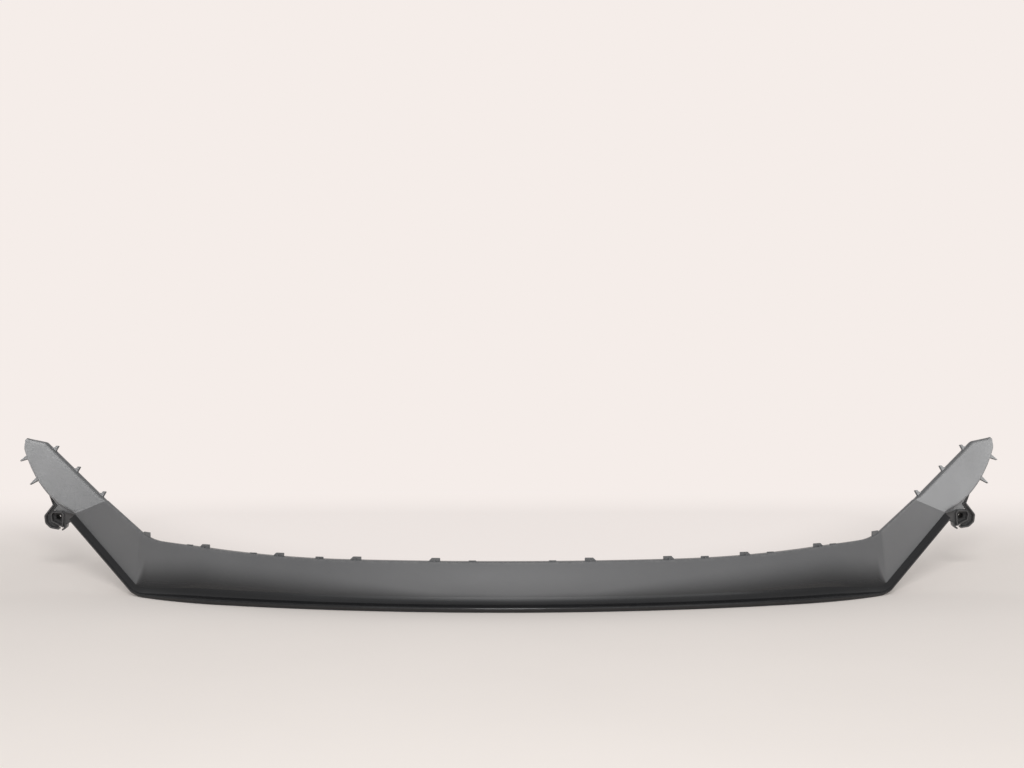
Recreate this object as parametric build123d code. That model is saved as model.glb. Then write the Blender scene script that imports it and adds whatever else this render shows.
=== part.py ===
from build123d import *
import math
import os

# Front splitter lip: one thin-walled moulding that bows round the nose of a car.
# Frame: +X to the right, front towards -Y, +Z up, standing on its lower edge at Z = 0.
# Driving dimensions are in millimetres and degrees.

# Wall of the moulding, the bevel on its top edge and what is taken off its underside to true it flat
WALL = 2.8
EDGE_BEVEL = 1.0
UNDERSIDE_TRIM = 0.3

# Blade's nose seen from above: a wide arc across the middle, then a tighter one up to the bend line
MID_RADIUS = 1690.0
MID_TURN = 15.0
CORNER_RADIUS = 460.0
CORNER_TURN = 35.0

# Blade's section: reach in front of the face, height of its foot, and the upright edge of its nose
BLADE_REACH_MID = 16.0
BLADE_REACH_WING = 10.5
BLADE_HEIGHT_MID = 20.0
BLADE_HEIGHT_WING = 11.0
NOSE_EDGE_MID = 8.0
NOSE_EDGE_WING = 5.0
NOSE_ROUND = 2.0
FLARE_BOW_MID = 0.2
FLARE_BOW_WING = 0.06
INNER_BOW_SHARE = 0.75
NOSE_HOLLOW_MID = 8.0
NOSE_HOLLOW_WING = 2.0
HOLLOW_GAP_MID = 3.4
HOLLOW_GAP_WING = 1.4
BLADE_TAPER_FROM = 470.0

# Face and its two return flanges
FACE_TOP_MID = 69.7
FACE_LEAN_MID = 11.0
FACE_CROWN_MID = 1.6
TOP_RISE_FROM = 340.0
TOP_RISE_SOFT = 90.0
TOP_RISE_SLOPE = 0.067
TOP_BEND_BEFORE = 22.0
TOP_BEND_SOFT = 22.0
TOP_FLANGE_MID = 9.0
TOP_FLANGE_WING = 5.0
BOTTOM_FLANGE_MID = 26.0
BOTTOM_FLANGE_WING = 12.0

# Lower wing: a flat facet that climbs from the bend line to the crease
WING_HEADING = 40.0
WING_LEAN = 8.5
FOOT_CLIMB = 28.0
FOOT_BEND_BEFORE = 10.0
FOOT_BEND_SOFT = 18.0
TOP_CLIMB = 22.8
FOOT_RUN = 170.0
TOP_RUN = 94.0
FOOT_OVERLAP = 2.5

# Upper wing: a shallow tray turned back about the crease, in the tray's own plane
CREASE_TURN = 13.0
TRAY_DEPTH = 5.5
TRAY_ROLL = 3.6
SHOULDER = (170.5, 168.0)
TIP = (163.0, 182.5)
KNEE = (103.5, 157.2)
OUTER_BOW = 18.5
TIP_ROUND = 3.0
SHOULDER_ROUND = 14.0
KNEE_ROUND = 10.0

# Clip tongues on the top flange: distance from the middle along the nose, width and height
TONGUE_PLACES = (117.0, 236.5, 357.0, 481.0)
TONGUE_WIDTH = 17.0
TONGUE_HEIGHT = 4.6
LOW_TONGUE_PLACES = (292.5,)
LOW_TONGUE_WIDTH = 12.0
LOW_TONGUE_HEIGHT = 2.6
BEND_TONGUE_BEFORE = 12.0
BEND_TONGUE_WIDTH = 14.0
BEND_TONGUE_HEIGHT = 6.0
NIB_PLACES = (60.0, 398.0, 508.0)
NIB_WIDTH = 11.0
NIB_HEIGHT = 1.2
TONGUE_WALL = 2.4
TONGUE_SET = 1.5
BARB_REACH = 1.6
GUSSET_WALL = 2.0
GUSSET_DROP = 24.0

# Hooks on the wing's inner edge and spikes on its outer edge
HOOK_PLACES = (17.5, 116.5, 204.5)
HOOK_RAMP_START = 14.0
HOOK_STEP_FOOT = (7.8, 3.3)
HOOK_STEP_TOP = (7.0, 6.6)
HOOK_TIP = (-0.5, 9.7)
HOOK_WALL = 2.6
SPIKE_PLACES = (151.0, 213.0)
SPIKE_BASE = 10.0
SPIKE_REACH = 18.0
SPIKE_LEAN = 6.0
SPIKE_TIP = 1.6
SPIKE_DEPTH = 3.0

# Screw ear facing straight forward: its screw's place on the tray, then its sizes from the screw's axis
EAR_ON_TRAY = (45.1227, 6.147, 0.64)
EAR_WALL = 3.0
EAR_TOP = (5.5, 22.0)
EAR_SHOULDER = (19.5, 4.5)
EAR_SIDE = (18.2, -8.2)
EAR_BELLY = (10.0, -16.2)
EAR_BOTTOM = (-1.0, -18.2)
EAR_LOBE = (-10.0, -20.0)
EAR_HEEL = (-16.0, -15.5)
EAR_NECK = (-17.0, -9.5)
EAR_ROOT_LOW = (-27.0, -5.0)
EAR_ROOT_HIGH = (-25.0, 20.0)
EAR_ROUND = 2.4
NOTCH_CORNER = (6.5, 10.8)
NOTCH_TOP = (2.2, 19.0)
EAR_SKIRT_WALL = 2.4
EAR_SKIRT_REACH = 11.0
CUP_TOP = 8.2
CUP_TOP_HALF = 6.4
CUP_SIDE = (8.6, 5.0)
CUP_CHIN = (7.4, -5.0)
CUP_CORNER = (-7.2, -12.6)
CUP_WALL = 2.0
CUP_REACH = 7.0
CUP_DEPTH = 8.0
SCREW_RADIUS = 3.3
SLEEVE_WALL = 2.4
SLEEVE_REACH = 24.0
SLOT_MOUTH = (-6.0, -8.8)
SLOT_START = (5.4, -7.6)

# Cheek: a web that folds back from the upper wing's outer edge and runs down to the screw ear
CHEEK_RUN = 100.0
CHEEK_SINK = 1.4
CHEEK_FOLD = 11.0
CHEEK_TOE = 2.5
CHEEK_NOTCH = (63.0, 7.7)
CHEEK_HEEL = (69.0, 17.5)

UP = Vector(0, 0, 1)


def heading_vectors(heading):
    """The level directions along a heading and outward from it, seen from above."""
    along = Vector(math.cos(heading), math.sin(heading), 0)
    return along, Vector(math.sin(heading), -math.cos(heading), 0)


def soft_run(run, start, soft):
    """Distance past a start, with the corner at the start rounded over soft on each side."""
    if run <= start - soft:
        return 0.0
    if run >= start + soft:
        return run - start
    return (run - start + soft) ** 2 / (4 * soft)


def smooth_share(run, start, end):
    """Share from 0 at start to 1 at end, level at both."""
    share = min(max((run - start) / (end - start), 0.0), 1.0)
    return share * share * (3 - 2 * share)


def meet(start, along, other_start, other_along):
    """Point where two lines of the section plane cross."""
    gap = other_start - start
    cross = along.X * other_along.Y - along.Y * other_along.X
    return start + along * ((gap.X * other_along.Y - gap.Y * other_along.X) / cross)


# Distances along the nose line
mid_length = MID_RADIUS * math.radians(MID_TURN)
bend_run = mid_length + CORNER_RADIUS * math.radians(CORNER_TURN - MID_TURN)


def nose_plan(run):
    """Place of the nose seen from above and its heading, at a signed distance from the middle."""
    side, length = math.copysign(1.0, run), abs(run)
    turn = min(length, mid_length) / MID_RADIUS
    heading = turn + max(length - mid_length, 0.0) / CORNER_RADIUS
    x = MID_RADIUS * math.sin(turn) + CORNER_RADIUS * (math.sin(heading) - math.sin(turn))
    y = MID_RADIUS * (1 - math.cos(turn)) + CORNER_RADIUS * (math.cos(turn) - math.cos(heading))
    return Vector(side * x, y, 0), side * heading


def nose_rise(run):
    """Height of the nose's underside above the floor: level, then climbing round the corner."""
    climb = math.tan(math.radians(FOOT_CLIMB))
    return climb * soft_run(abs(run), bend_run - FOOT_BEND_BEFORE, FOOT_BEND_SOFT)


def face_top(run):
    """Height of the face's top edge: level, a gentle rise, then the climb of the wing."""
    rise = TOP_RISE_SLOPE * soft_run(abs(run), TOP_RISE_FROM, TOP_RISE_SOFT)
    climb = math.tan(math.radians(TOP_CLIMB)) - TOP_RISE_SLOPE
    return FACE_TOP_MID + rise + climb * soft_run(abs(run), bend_run - TOP_BEND_BEFORE, TOP_BEND_SOFT)


class Station:
    """One upright cross-section of the lip, square to the nose, with X outward and Y up in its plane."""

    def __init__(self, run):
        length = abs(run)
        at_bend = length >= bend_run
        share = smooth_share(length, BLADE_TAPER_FROM, bend_run)
        place, heading = nose_plan(run)
        if at_bend:
            heading = math.copysign(math.radians(WING_HEADING), run)
        self.along, self.outward = heading_vectors(heading)
        self.origin = place + UP * nose_rise(run)
        self.reach = BLADE_REACH_MID + share * (BLADE_REACH_WING - BLADE_REACH_MID)
        self.height = BLADE_HEIGHT_MID + share * (BLADE_HEIGHT_WING - BLADE_HEIGHT_MID)
        self.edge = NOSE_EDGE_MID + share * (NOSE_EDGE_WING - NOSE_EDGE_MID)
        self.hollow = NOSE_HOLLOW_MID + share * (NOSE_HOLLOW_WING - NOSE_HOLLOW_MID)
        self.gap = HOLLOW_GAP_MID + share * (HOLLOW_GAP_WING - HOLLOW_GAP_MID)
        self.flare_bow = FLARE_BOW_MID + share * (FLARE_BOW_WING - FLARE_BOW_MID)
        self.top_flange = TOP_FLANGE_MID + share * (TOP_FLANGE_WING - TOP_FLANGE_MID)
        self.bottom_flange = BOTTOM_FLANGE_MID + share * (BOTTOM_FLANGE_WING - BOTTOM_FLANGE_MID)
        self.crown = 0.0 if at_bend else FACE_CROWN_MID * (1 - share)
        lean = math.radians(FACE_LEAN_MID + share * (WING_LEAN - FACE_LEAN_MID))
        droop = share * math.radians(WING_LEAN)
        self.face_up = Vector(-math.sin(lean), math.cos(lean))
        self.face_out = Vector(math.cos(lean), math.sin(lean))
        self.flange_back = Vector(-math.cos(droop), -math.sin(droop))
        self.flange_up = Vector(-math.sin(droop), math.cos(droop))
        self.foot = Vector(-self.reach, self.height)
        rise = face_top(run) - self.origin.Z - self.height
        self.top = self.foot + self.face_up * (rise / math.cos(lean))
        self.inner_foot = self.foot - self.face_out * WALL

    def place(self, point):
        """A point of the section plane, in the lip's frame."""
        return self.origin + self.outward * point.X + UP * point.Y

    def line(self, start, end):
        return Edge.make_line(self.place(start), self.place(end))

    def arc(self, start, bow, end):
        """Arc that stands off its chord by bow, to the left of the way from start to end."""
        chord = end - start
        middle = (start + end) * 0.5 + Vector(-chord.Y, chord.X).normalized() * bow
        return Edge.make_three_point_arc(self.place(start), self.place(middle), self.place(end))

    def nose(self):
        """Bevelled underside corner, upright edge, round top corner and concave flare up to the foot."""
        low, front_low = Vector(-NOSE_ROUND, 0), Vector(0, NOSE_ROUND)
        front_high, high = Vector(0, self.edge - NOSE_ROUND), Vector(-NOSE_ROUND, self.edge)
        round_bow = -NOSE_ROUND * (1 - math.sqrt(0.5))
        flare_bow = self.flare_bow * (self.foot - high).length
        return [self.line(low, front_low), self.line(front_low, front_high),
                self.arc(front_high, round_bow, high), self.arc(high, flare_bow, self.foot)]

    def flange_rear(self):
        """Upper and lower corner of the bottom flange's rear edge."""
        rear = Vector(-self.reach - self.bottom_flange, 0)
        return [rear + Vector(0, WALL), rear]

    def underside(self):
        """Inside of the flare, the hollow behind the nose and the bottom flange, back to the nose."""
        hollow_top = Vector(-self.reach + self.hollow, WALL + self.gap)
        hollow_low = Vector(hollow_top.X, WALL)
        rear_top, rear = self.flange_rear()
        slope = hollow_top - self.inner_foot
        inner_bow = INNER_BOW_SHARE * self.flare_bow
        knuckle = self.inner_foot + slope * 0.5 + Vector(slope.Y, -slope.X) * inner_bow
        return [self.line(self.inner_foot, knuckle), self.line(knuckle, hollow_top),
                self.line(hollow_top, hollow_low), self.line(hollow_low, rear_top),
                self.line(rear_top, rear), self.line(rear, Vector(-NOSE_ROUND, 0))]

    def face(self):
        """Crowned face, bevelled top edge, top flange and the back of the face, down to the inner foot."""
        face_end = self.top - self.face_up * EDGE_BEVEL
        flange_start = self.top + self.flange_back * EDGE_BEVEL
        flange_end = self.top + self.flange_back * self.top_flange
        flange_low = flange_end - self.flange_up * WALL
        corner = meet(self.inner_foot, self.face_up, flange_low, self.flange_back)
        front, back = self.line(self.foot, face_end), self.line(corner, self.inner_foot)
        if self.crown:
            front = self.arc(self.foot, -self.crown, face_end)
            back = self.arc(corner, self.crown, self.inner_foot)
        return [front, self.line(face_end, flange_start), self.line(flange_start, flange_end),
                self.line(flange_end, flange_low), self.line(flange_low, corner), back]

    def section(self):
        """Closed outline of the whole section."""
        return Wire(self.nose() + self.face() + self.underside())

    def blade(self):
        """Closed outline of the blade alone, up to the foot of the face."""
        return Wire(self.nose() + [self.line(self.foot, self.inner_foot)] + self.underside())

    def cap(self):
        """Closed outline over the blade's open end."""
        rear_top, rear = self.flange_rear()
        back = [self.line(self.foot, self.inner_foot), self.line(self.inner_foot, rear_top)]
        return Wire(self.nose() + back + [self.line(rear_top, rear), self.line(rear, Vector(-NOSE_ROUND, 0))])


def make_bow():
    """Middle of the lip from bend line to bend line, lofted through its sections."""
    shares = (0.0, 0.2, 0.4, 0.58, 0.72, 0.82, 0.89, 0.935, 0.965, 1.0)
    runs = [bend_run * share for share in shares]
    stations = [Station(-run) for run in runs[:0:-1]] + [Station(run) for run in runs]
    return Solid.make_loft([station.section() for station in stations])


# Planes of the right wing's two facets, from the section at the bend line
bend = Station(bend_run)
wing_out = bend.outward * math.cos(math.radians(WING_LEAN)) + UP * math.sin(math.radians(WING_LEAN))
lower_plane = Plane(origin=bend.place(bend.foot), x_dir=bend.along, z_dir=wing_out)
face_height = (bend.top - bend.foot).length
crease_outer = Vector(FOOT_RUN, FOOT_RUN * math.tan(math.radians(FOOT_CLIMB)))
crease_inner = Vector(TOP_RUN, face_height + TOP_RUN * math.tan(math.radians(TOP_CLIMB)))
crease_start = lower_plane.from_local_coords(crease_outer)
crease_along = (crease_start - lower_plane.from_local_coords(crease_inner)).normalized()
crease_length = (crease_outer - crease_inner).length
upper_out = wing_out.rotate(Axis((0, 0, 0), crease_along), -CREASE_TURN)
upper_plane = Plane(origin=crease_start, x_dir=crease_along, z_dir=upper_out)
ear_plane = Plane(origin=upper_plane.from_local_coords(EAR_ON_TRAY), x_dir=(1, 0, 0), z_dir=(0, -1, 0))


def make_lower_wing():
    """Lower facet with its top flange, and the blade run on along its foot."""
    drop = Vector(0, FOOT_OVERLAP)
    flange_drop = Vector(0, WALL / math.cos(math.radians(TOP_CLIMB)))
    top_start = Vector(0, face_height)
    plate = make_face(Polyline(-drop, crease_outer - drop, crease_outer, crease_inner, top_start, close=True))
    flange = make_face(Polyline(top_start, crease_inner, crease_inner - flange_drop, top_start - flange_drop,
                                close=True))
    foot_way = crease_start - lower_plane.origin
    blade = Solid.extrude(Face(bend.blade()), foot_way)
    cap_way = foot_way.normalized() * WALL
    cap = Pos(*(foot_way - cap_way)) * Solid.extrude(Face(bend.cap()), cap_way)
    return [extrude(lower_plane * plate, -WALL), extrude(lower_plane * flange, -TOP_FLANGE_WING), blade, cap]


def tray_outline():
    """Outline of the upper wing in its own plane: crease, bowed outer edge, tip, knee and inner edge."""
    shoulder, tip, knee, heel = Vector(*SHOULDER), Vector(*TIP), Vector(*KNEE), Vector(-crease_length, 0)
    way = shoulder.normalized()
    bow_point = shoulder * 0.5 + Vector(way.Y, -way.X) * OUTER_BOW
    return [ThreePointArc((0, 0), bow_point, shoulder), Line(shoulder, tip), Line(tip, knee),
            Line(knee, heel), Line(heel, (0, 0))]


def make_upper_wing():
    """Tray of the upper wing: flat face, rolled outer edge and shallow walls, open at the back."""
    outline = make_face(tray_outline())
    for corner, radius in ((TIP, TIP_ROUND), (SHOULDER, SHOULDER_ROUND), (KNEE, KNEE_ROUND)):
        outline = fillet(outline.vertices().sort_by_distance(corner)[0], radius)
    block = extrude(outline, -TRAY_DEPTH)
    front = block.faces().sort_by(Axis.Z)[-1]
    block = fillet(front.edges().filter_by(GeomType.CIRCLE).sort_by(SortBy.RADIUS)[-1], TRAY_ROLL)
    hollow = Pos(0, 0, -WALL) * extrude(offset(outline, -WALL), -TRAY_DEPTH)
    return upper_plane * (block - hollow)


def make_hooks():
    """Hooks on the inner edge, each a ramp that steps up to a pointed tab facing the crease."""
    heel, knee = Vector(-crease_length, 0), Vector(*KNEE)
    edge_plane = Plane(origin=heel, x_dir=knee - heel, z_dir=(0, 0, 1))
    hooks = []
    for place in HOOK_PLACES:
        fin = make_face(Polyline((0, -WALL), (0, 0), HOOK_TIP, HOOK_STEP_TOP, HOOK_STEP_FOOT,
                                 (HOOK_RAMP_START, 0), (HOOK_RAMP_START, -WALL), close=True))
        seat = Pos(0, 0, HOOK_WALL - TRAY_DEPTH)
        hooks.append(upper_plane * (seat * (edge_plane * (Pos(place, 0) * extrude(fin, -HOOK_WALL)))))
    return hooks


def make_spikes():
    """Spikes on the rolled outer edge, each a flat wedge that leans towards the wing's tip."""
    arc = tray_outline()[0]
    spikes = []
    for place in SPIKE_PLACES:
        share = place / arc.length
        plane = Plane(origin=arc.position_at(share), x_dir=arc.tangent_at(share), z_dir=(0, 0, 1))
        tip = SPIKE_BASE + SPIKE_LEAN
        wedge = make_face(Polyline((0, WALL), (SPIKE_BASE, WALL), (SPIKE_BASE, 0), (tip, -SPIKE_REACH),
                                   (tip - SPIKE_TIP, -SPIKE_REACH), (0, 0), close=True))
        spikes.append(upper_plane * (plane * (Pos(0, 0, -TRAY_DEPTH) * extrude(wedge, SPIKE_DEPTH))))
    return spikes


def make_ear():
    """Screw ear: a plate with a skirt on its outer side, a flat-topped cup for the screw and a drain slot."""
    outer = [EAR_TOP, EAR_SHOULDER, EAR_SIDE, EAR_BELLY, EAR_BOTTOM, EAR_LOBE, EAR_HEEL, EAR_NECK]
    plate = make_face(Polyline(*outer, EAR_ROOT_LOW, EAR_ROOT_HIGH, close=True))
    plate = fillet(plate.vertices(), EAR_ROUND)
    low, high = 2 * EAR_LOBE[1], 2 * EAR_TOP[1]
    near, far = 2 * EAR_ROOT_LOW[0], 2 * EAR_SHOULDER[0]
    outer_side = make_face(Polyline(EAR_TOP, EAR_HEEL, (EAR_HEEL[0], low), (far, low), (far, EAR_TOP[1]),
                                    close=True))
    skirt = extrude((plate - offset(plate, -EAR_SKIRT_WALL)) & outer_side, EAR_SKIRT_REACH)
    notch = make_face(Polyline((near, NOTCH_CORNER[1]), NOTCH_CORNER, NOTCH_TOP, (NOTCH_TOP[0], high),
                               (near, high), close=True))
    cup = make_face(Polyline((CUP_TOP_HALF, CUP_TOP), CUP_SIDE, CUP_CHIN, CUP_CORNER,
                             (-CUP_SIDE[0], CUP_SIDE[1]), (-CUP_TOP_HALF, CUP_TOP), close=True))
    shell = offset(cup, CUP_WALL, kind=Kind.INTERSECTION)
    boss = extrude(shell, CUP_REACH) + extrude(shell, -CUP_DEPTH)
    sleeve = extrude(Circle(SCREW_RADIUS + SLEEVE_WALL), -SLEEVE_REACH)
    hollow = Pos(0, 0, CUP_REACH) * extrude(cup, -(CUP_REACH + CUP_DEPTH - EAR_WALL))
    screw = extrude(Circle(SCREW_RADIUS), SLEEVE_REACH * 2, both=True)
    slot_low = EAR_LOBE[1] - EAR_ROUND
    slot = make_face(Polyline(SLOT_START, (SLOT_MOUTH[0], slot_low), (SLOT_MOUTH[1], slot_low), CUP_CORNER,
                              close=True))
    open_plate = extrude(plate - notch, -EAR_WALL) + skirt - extrude(slot, CUP_DEPTH * 2, both=True)
    return ear_plane * (open_plate + boss + sleeve - hollow - screw)


def make_cheek():
    """Web that folds back from the tray's outer edge and widens towards the crease, past the ear."""
    arc = tray_outline()[0]
    start, end = arc.position_at(0), arc.position_at(CHEEK_RUN / arc.length)
    way = (end - start).normalized()
    inward = Vector(-way.Y, way.X) * CHEEK_SINK
    edge = Plane(origin=start + inward + Vector(0, 0, -WALL / 2), x_dir=way, z_dir=(0, 0, 1))
    length = (end - start).length
    web = make_face(Polyline((CHEEK_SINK, 0), (length, 0), (CHEEK_NOTCH[0], -CHEEK_NOTCH[1]),
                             (CHEEK_HEEL[0], -CHEEK_HEEL[1]), (CHEEK_SINK, -CHEEK_TOE), close=True))
    return upper_plane * (edge * (Rot(CHEEK_FOLD, 0, 0) * extrude(web, -WALL)))


def tongue_plane(run):
    """Upright plane on the top flange, just in front of its rear edge, square to the nose."""
    station = Station(run)
    return Plane(origin=station.place(station.top + station.flange_back * (station.top_flange - TONGUE_SET)),
                 x_dir=station.along, z_dir=station.outward)


def make_tongue(run, width, height, slant):
    """Upright tongue rooted in the top flange, slanted on its outboard side."""
    side = math.copysign(1.0, run)
    half, root = width / 2, -WALL / 2
    front = make_face(Polyline((-side * half, root), (-side * half, height), (side * (half - slant), height),
                               (side * half, 0), (side * half, root), close=True))
    return tongue_plane(run) * extrude(front, TONGUE_WALL)


def make_barb(run, width, height):
    """Catch on the back of a tongue, a wedge that narrows to the top."""
    plane = tongue_plane(run)
    side_plane = Plane(origin=plane.origin - plane.x_dir * (width / 4), x_dir=-plane.z_dir, z_dir=plane.x_dir)
    sunk = -TONGUE_WALL / 2
    wedge = make_face(Polyline((sunk, height * 0.3), (sunk, height * 0.9), (0, height * 0.9),
                               (BARB_REACH, height * 0.4), (BARB_REACH, height * 0.3), close=True))
    return side_plane * extrude(wedge, width / 2)


def make_gusset(run):
    """Web behind a tongue that ties the top flange to the back of the face."""
    station = Station(run)
    sunk = station.top - station.flange_up * (WALL / 2)
    rear = sunk + station.flange_back * (station.top_flange - TONGUE_SET)
    corner = sunk + station.flange_back * (WALL / 2)
    low = station.top - station.face_up * GUSSET_DROP - station.face_out * (WALL / 2 - station.crown)
    web = make_face([station.line(rear, corner), station.line(corner, low), station.line(low, rear)])
    return extrude(web, GUSSET_WALL / 2, dir=station.along, both=True)


def make_clips():
    """Every tongue, barb, gusset and nib on the right half of the top flange."""
    clips = []
    for run in TONGUE_PLACES:
        clips += [make_tongue(run, TONGUE_WIDTH, TONGUE_HEIGHT, TONGUE_HEIGHT),
                  make_barb(run, TONGUE_WIDTH, TONGUE_HEIGHT), make_gusset(run)]
    for run in LOW_TONGUE_PLACES:
        clips += [make_tongue(run, LOW_TONGUE_WIDTH, LOW_TONGUE_HEIGHT, 0.0), make_gusset(run)]
    bend_tongue = bend_run - BEND_TONGUE_BEFORE
    clips += [make_tongue(bend_tongue, BEND_TONGUE_WIDTH, BEND_TONGUE_HEIGHT, 0.0), make_gusset(bend_tongue)]
    clips += [make_tongue(run, NIB_WIDTH, NIB_HEIGHT, 0.0) for run in NIB_PLACES]
    return clips


def make_lip():
    """The whole moulding: its right half, mirrored, centred over its footprint."""
    trued_bow = split(make_bow(), Plane.XY.offset(UNDERSIDE_TRIM), keep=Keep.TOP)
    half_bow = split(trued_bow, Plane.YZ, keep=Keep.TOP)
    wing = make_lower_wing() + [make_upper_wing(), make_ear(), make_cheek()] + make_hooks() + make_spikes()
    right = half_bow.fuse(*make_clips()).fuse(*wing)
    lip = right.fuse(mirror(right, about=Plane.YZ))
    box = lip.bounding_box()
    return Pos(0, -box.center().Y, -box.min.Z) * lip


if __name__ == "__main__":
    os.makedirs("parts", exist_ok=True)
    export_step(make_lip(), "parts/lip_moulding.step")
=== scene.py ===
"""Looks of a front splitter lip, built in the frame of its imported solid.

Sizes are in millimetres and degrees, in the lip's drawing frame: the nose's front at Y = 0 in the middle, the
blank's underside at Z = 0, +X to the right and -Y ahead. Meshes are made in metres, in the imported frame.
"""

import logging
import math
from dataclasses import dataclass
from enum import Enum, IntEnum

import bpy
import numpy as np
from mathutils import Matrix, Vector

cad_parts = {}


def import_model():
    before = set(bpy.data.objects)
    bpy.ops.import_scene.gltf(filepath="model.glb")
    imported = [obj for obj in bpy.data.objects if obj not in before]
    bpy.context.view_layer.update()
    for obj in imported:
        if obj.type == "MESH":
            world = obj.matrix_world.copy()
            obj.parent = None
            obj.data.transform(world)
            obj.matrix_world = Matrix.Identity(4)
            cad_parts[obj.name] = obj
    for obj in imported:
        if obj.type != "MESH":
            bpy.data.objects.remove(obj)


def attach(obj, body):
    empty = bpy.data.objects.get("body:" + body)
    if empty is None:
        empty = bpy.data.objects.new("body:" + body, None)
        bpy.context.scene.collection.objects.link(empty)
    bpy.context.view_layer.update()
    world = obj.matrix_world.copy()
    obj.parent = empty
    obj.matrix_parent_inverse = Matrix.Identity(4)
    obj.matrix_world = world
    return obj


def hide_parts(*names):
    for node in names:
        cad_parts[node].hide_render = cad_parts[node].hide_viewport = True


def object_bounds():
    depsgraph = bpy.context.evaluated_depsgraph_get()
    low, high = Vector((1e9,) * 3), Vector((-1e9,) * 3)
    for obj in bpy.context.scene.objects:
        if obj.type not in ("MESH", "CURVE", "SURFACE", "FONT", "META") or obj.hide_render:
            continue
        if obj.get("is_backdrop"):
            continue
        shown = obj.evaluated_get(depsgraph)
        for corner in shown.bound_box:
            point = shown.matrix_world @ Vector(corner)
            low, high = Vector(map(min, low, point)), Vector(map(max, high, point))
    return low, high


LOG = logging.getLogger("lip")
METRES = 0.001
UP = np.array((0.0, 0.0, 1.0))
SHARP_ANGLE = math.radians(32.0)
# Most of its shorter side that a rounded corner takes, and how exposed a plate is to rubbing
CORNER_SHARE = 0.45
PLATE_RUB = 0.6
# Roughness of a polish, roughness that dust adds, and the share of the darker finish from which its gloss
# sets in; below that share the colour darkens with no gloss, which on the face is painted shade
COAT_ROUGHNESS = 0.05
DUST_ROUGHNESS = 0.3
SHINE_FROM = 0.65
NODE = "lip_moulding"
BODY = "root"


class Side(Enum):
    """Which half of the lip a piece is on."""

    RIGHT = "right"
    LEFT = "left"


class Size(IntEnum):
    """Column of each size in the sizes of the shell's rows."""

    REACH = 0
    HEIGHT = 1
    EDGE = 2
    HOLLOW = 3
    GAP = 4
    TOP_FLANGE = 5
    BOTTOM_FLANGE = 6
    CROWN = 7
    BOW = 8
    TOP_ROUND = 9
    POLISH_LOW = 10
    POLISH_HIGH = 11


def unit(vectors: np.ndarray) -> np.ndarray:
    """Vectors divided by their own length, along the last axis."""
    return vectors / np.linalg.norm(vectors, axis=-1, keepdims=True)


def soft_run(run: np.ndarray, start: float, soft: float) -> np.ndarray:
    """Distance past a start, with the corner there rounded by a parabola.

    Args:
        run: Distances.
        start: Where the count begins.
        soft: How far to each side the corner is rounded.

    Returns:
        Zero before the corner, run - start after it, and (run - start + soft)^2 / (4 soft) across it.
    """
    inside = (run - start + soft) ** 2 / (4 * soft)
    return np.where(run <= start - soft, 0.0, np.where(run >= start + soft, run - start, inside))


def smooth_share(run: np.ndarray, start: float, end: float) -> np.ndarray:
    """Share from 0 at start to 1 at end by 3s^2 - 2s^3, level at both."""
    share = np.clip((run - start) / (end - start), 0.0, 1.0)
    return share * share * (3 - 2 * share)


def between(start: np.ndarray, end: np.ndarray, steps: int) -> np.ndarray:
    """Points on straight lines, without their ends.

    Args:
        start: Starts of the lines, one in each row.
        end: Ends of the lines.
        steps: Parts that each line is cut into.

    Returns:
        start + s (end - start) for s = 0, 1/steps, ..., as rows by steps by dimensions.
    """
    share = np.arange(steps)[None, :, None] / steps
    return start[:, None, :] * (1 - share) + end[:, None, :] * share


def bowed(start: np.ndarray, end: np.ndarray, bow: np.ndarray, shares: np.ndarray) -> np.ndarray:
    """Lines bent into parabolas.

    Args:
        start: Starts of the lines, one in each row.
        end: Ends of the lines.
        bow: How far, and which way, the middle of each line stands off its chord.
        shares: Places along each line, from 0 at its start.

    Returns:
        start + s (end - start) + 4 s (1 - s) bow, as rows by shares by dimensions.
    """
    share = shares[None, :, None]
    return start[:, None] * (1 - share) + end[:, None] * share + 4 * share * (1 - share) * bow[:, None]


def rounded(start: np.ndarray, corner: np.ndarray, end: np.ndarray, steps: int) -> np.ndarray:
    """Corners rounded by quadratic curves, without their ends.

    Args:
        start: Where each curve leaves the first side.
        corner: The corners.
        end: Where each curve joins the second side.
        steps: Parts that each curve is cut into.

    Returns:
        (1 - s)^2 start + 2 s (1 - s) corner + s^2 end, as rows by steps by dimensions.
    """
    share = np.arange(steps)[None, :, None] / steps
    first, middle, last = (1 - share) ** 2, 2 * share * (1 - share), share ** 2
    return first * start[:, None, :] + middle * corner[:, None, :] + last * end[:, None, :]


def round_outline(points: np.ndarray, radius: float, steps: int) -> np.ndarray:
    """Closed outline with each corner cut back by a radius, or less on short sides, and rounded.

    Args:
        points: Corners of the outline, in order.
        radius: Length taken off both sides at each corner.
        steps: Points along each rounded corner.

    Returns:
        Corners by steps points of the new outline, in order.
    """
    before, after = np.roll(points, 1, axis=0), np.roll(points, -1, axis=0)
    sides = np.linalg.norm((before - points, after - points), axis=-1)
    cut = np.minimum(radius, CORNER_SHARE * sides.min(axis=0))[:, None]
    start, end = points + cut * unit(before - points), points + cut * unit(after - points)
    share = np.linspace(0, 1, steps)[None, :, None]
    first, middle, last = (1 - share) ** 2, 2 * share * (1 - share), share ** 2
    curve = first * start[:, None] + middle * points[:, None] + last * end[:, None]
    return curve.reshape(-1, points.shape[1])


def left_normals(path: np.ndarray, closed: bool) -> np.ndarray:
    """Unit normals to the left of a flat path, from the chord between each point's neighbours.

    Args:
        path: Points of the path, in order.
        closed: Whether the last point leads back to the first.

    Returns:
        One normal for each point.
    """
    chord = np.roll(path, -1, axis=0) - np.roll(path, 1, axis=0)
    if not closed:
        chord[0], chord[-1] = path[1] - path[0], path[-1] - path[-2]
    return unit(np.stack((-chord[:, 1], chord[:, 0]), axis=1))


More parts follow.
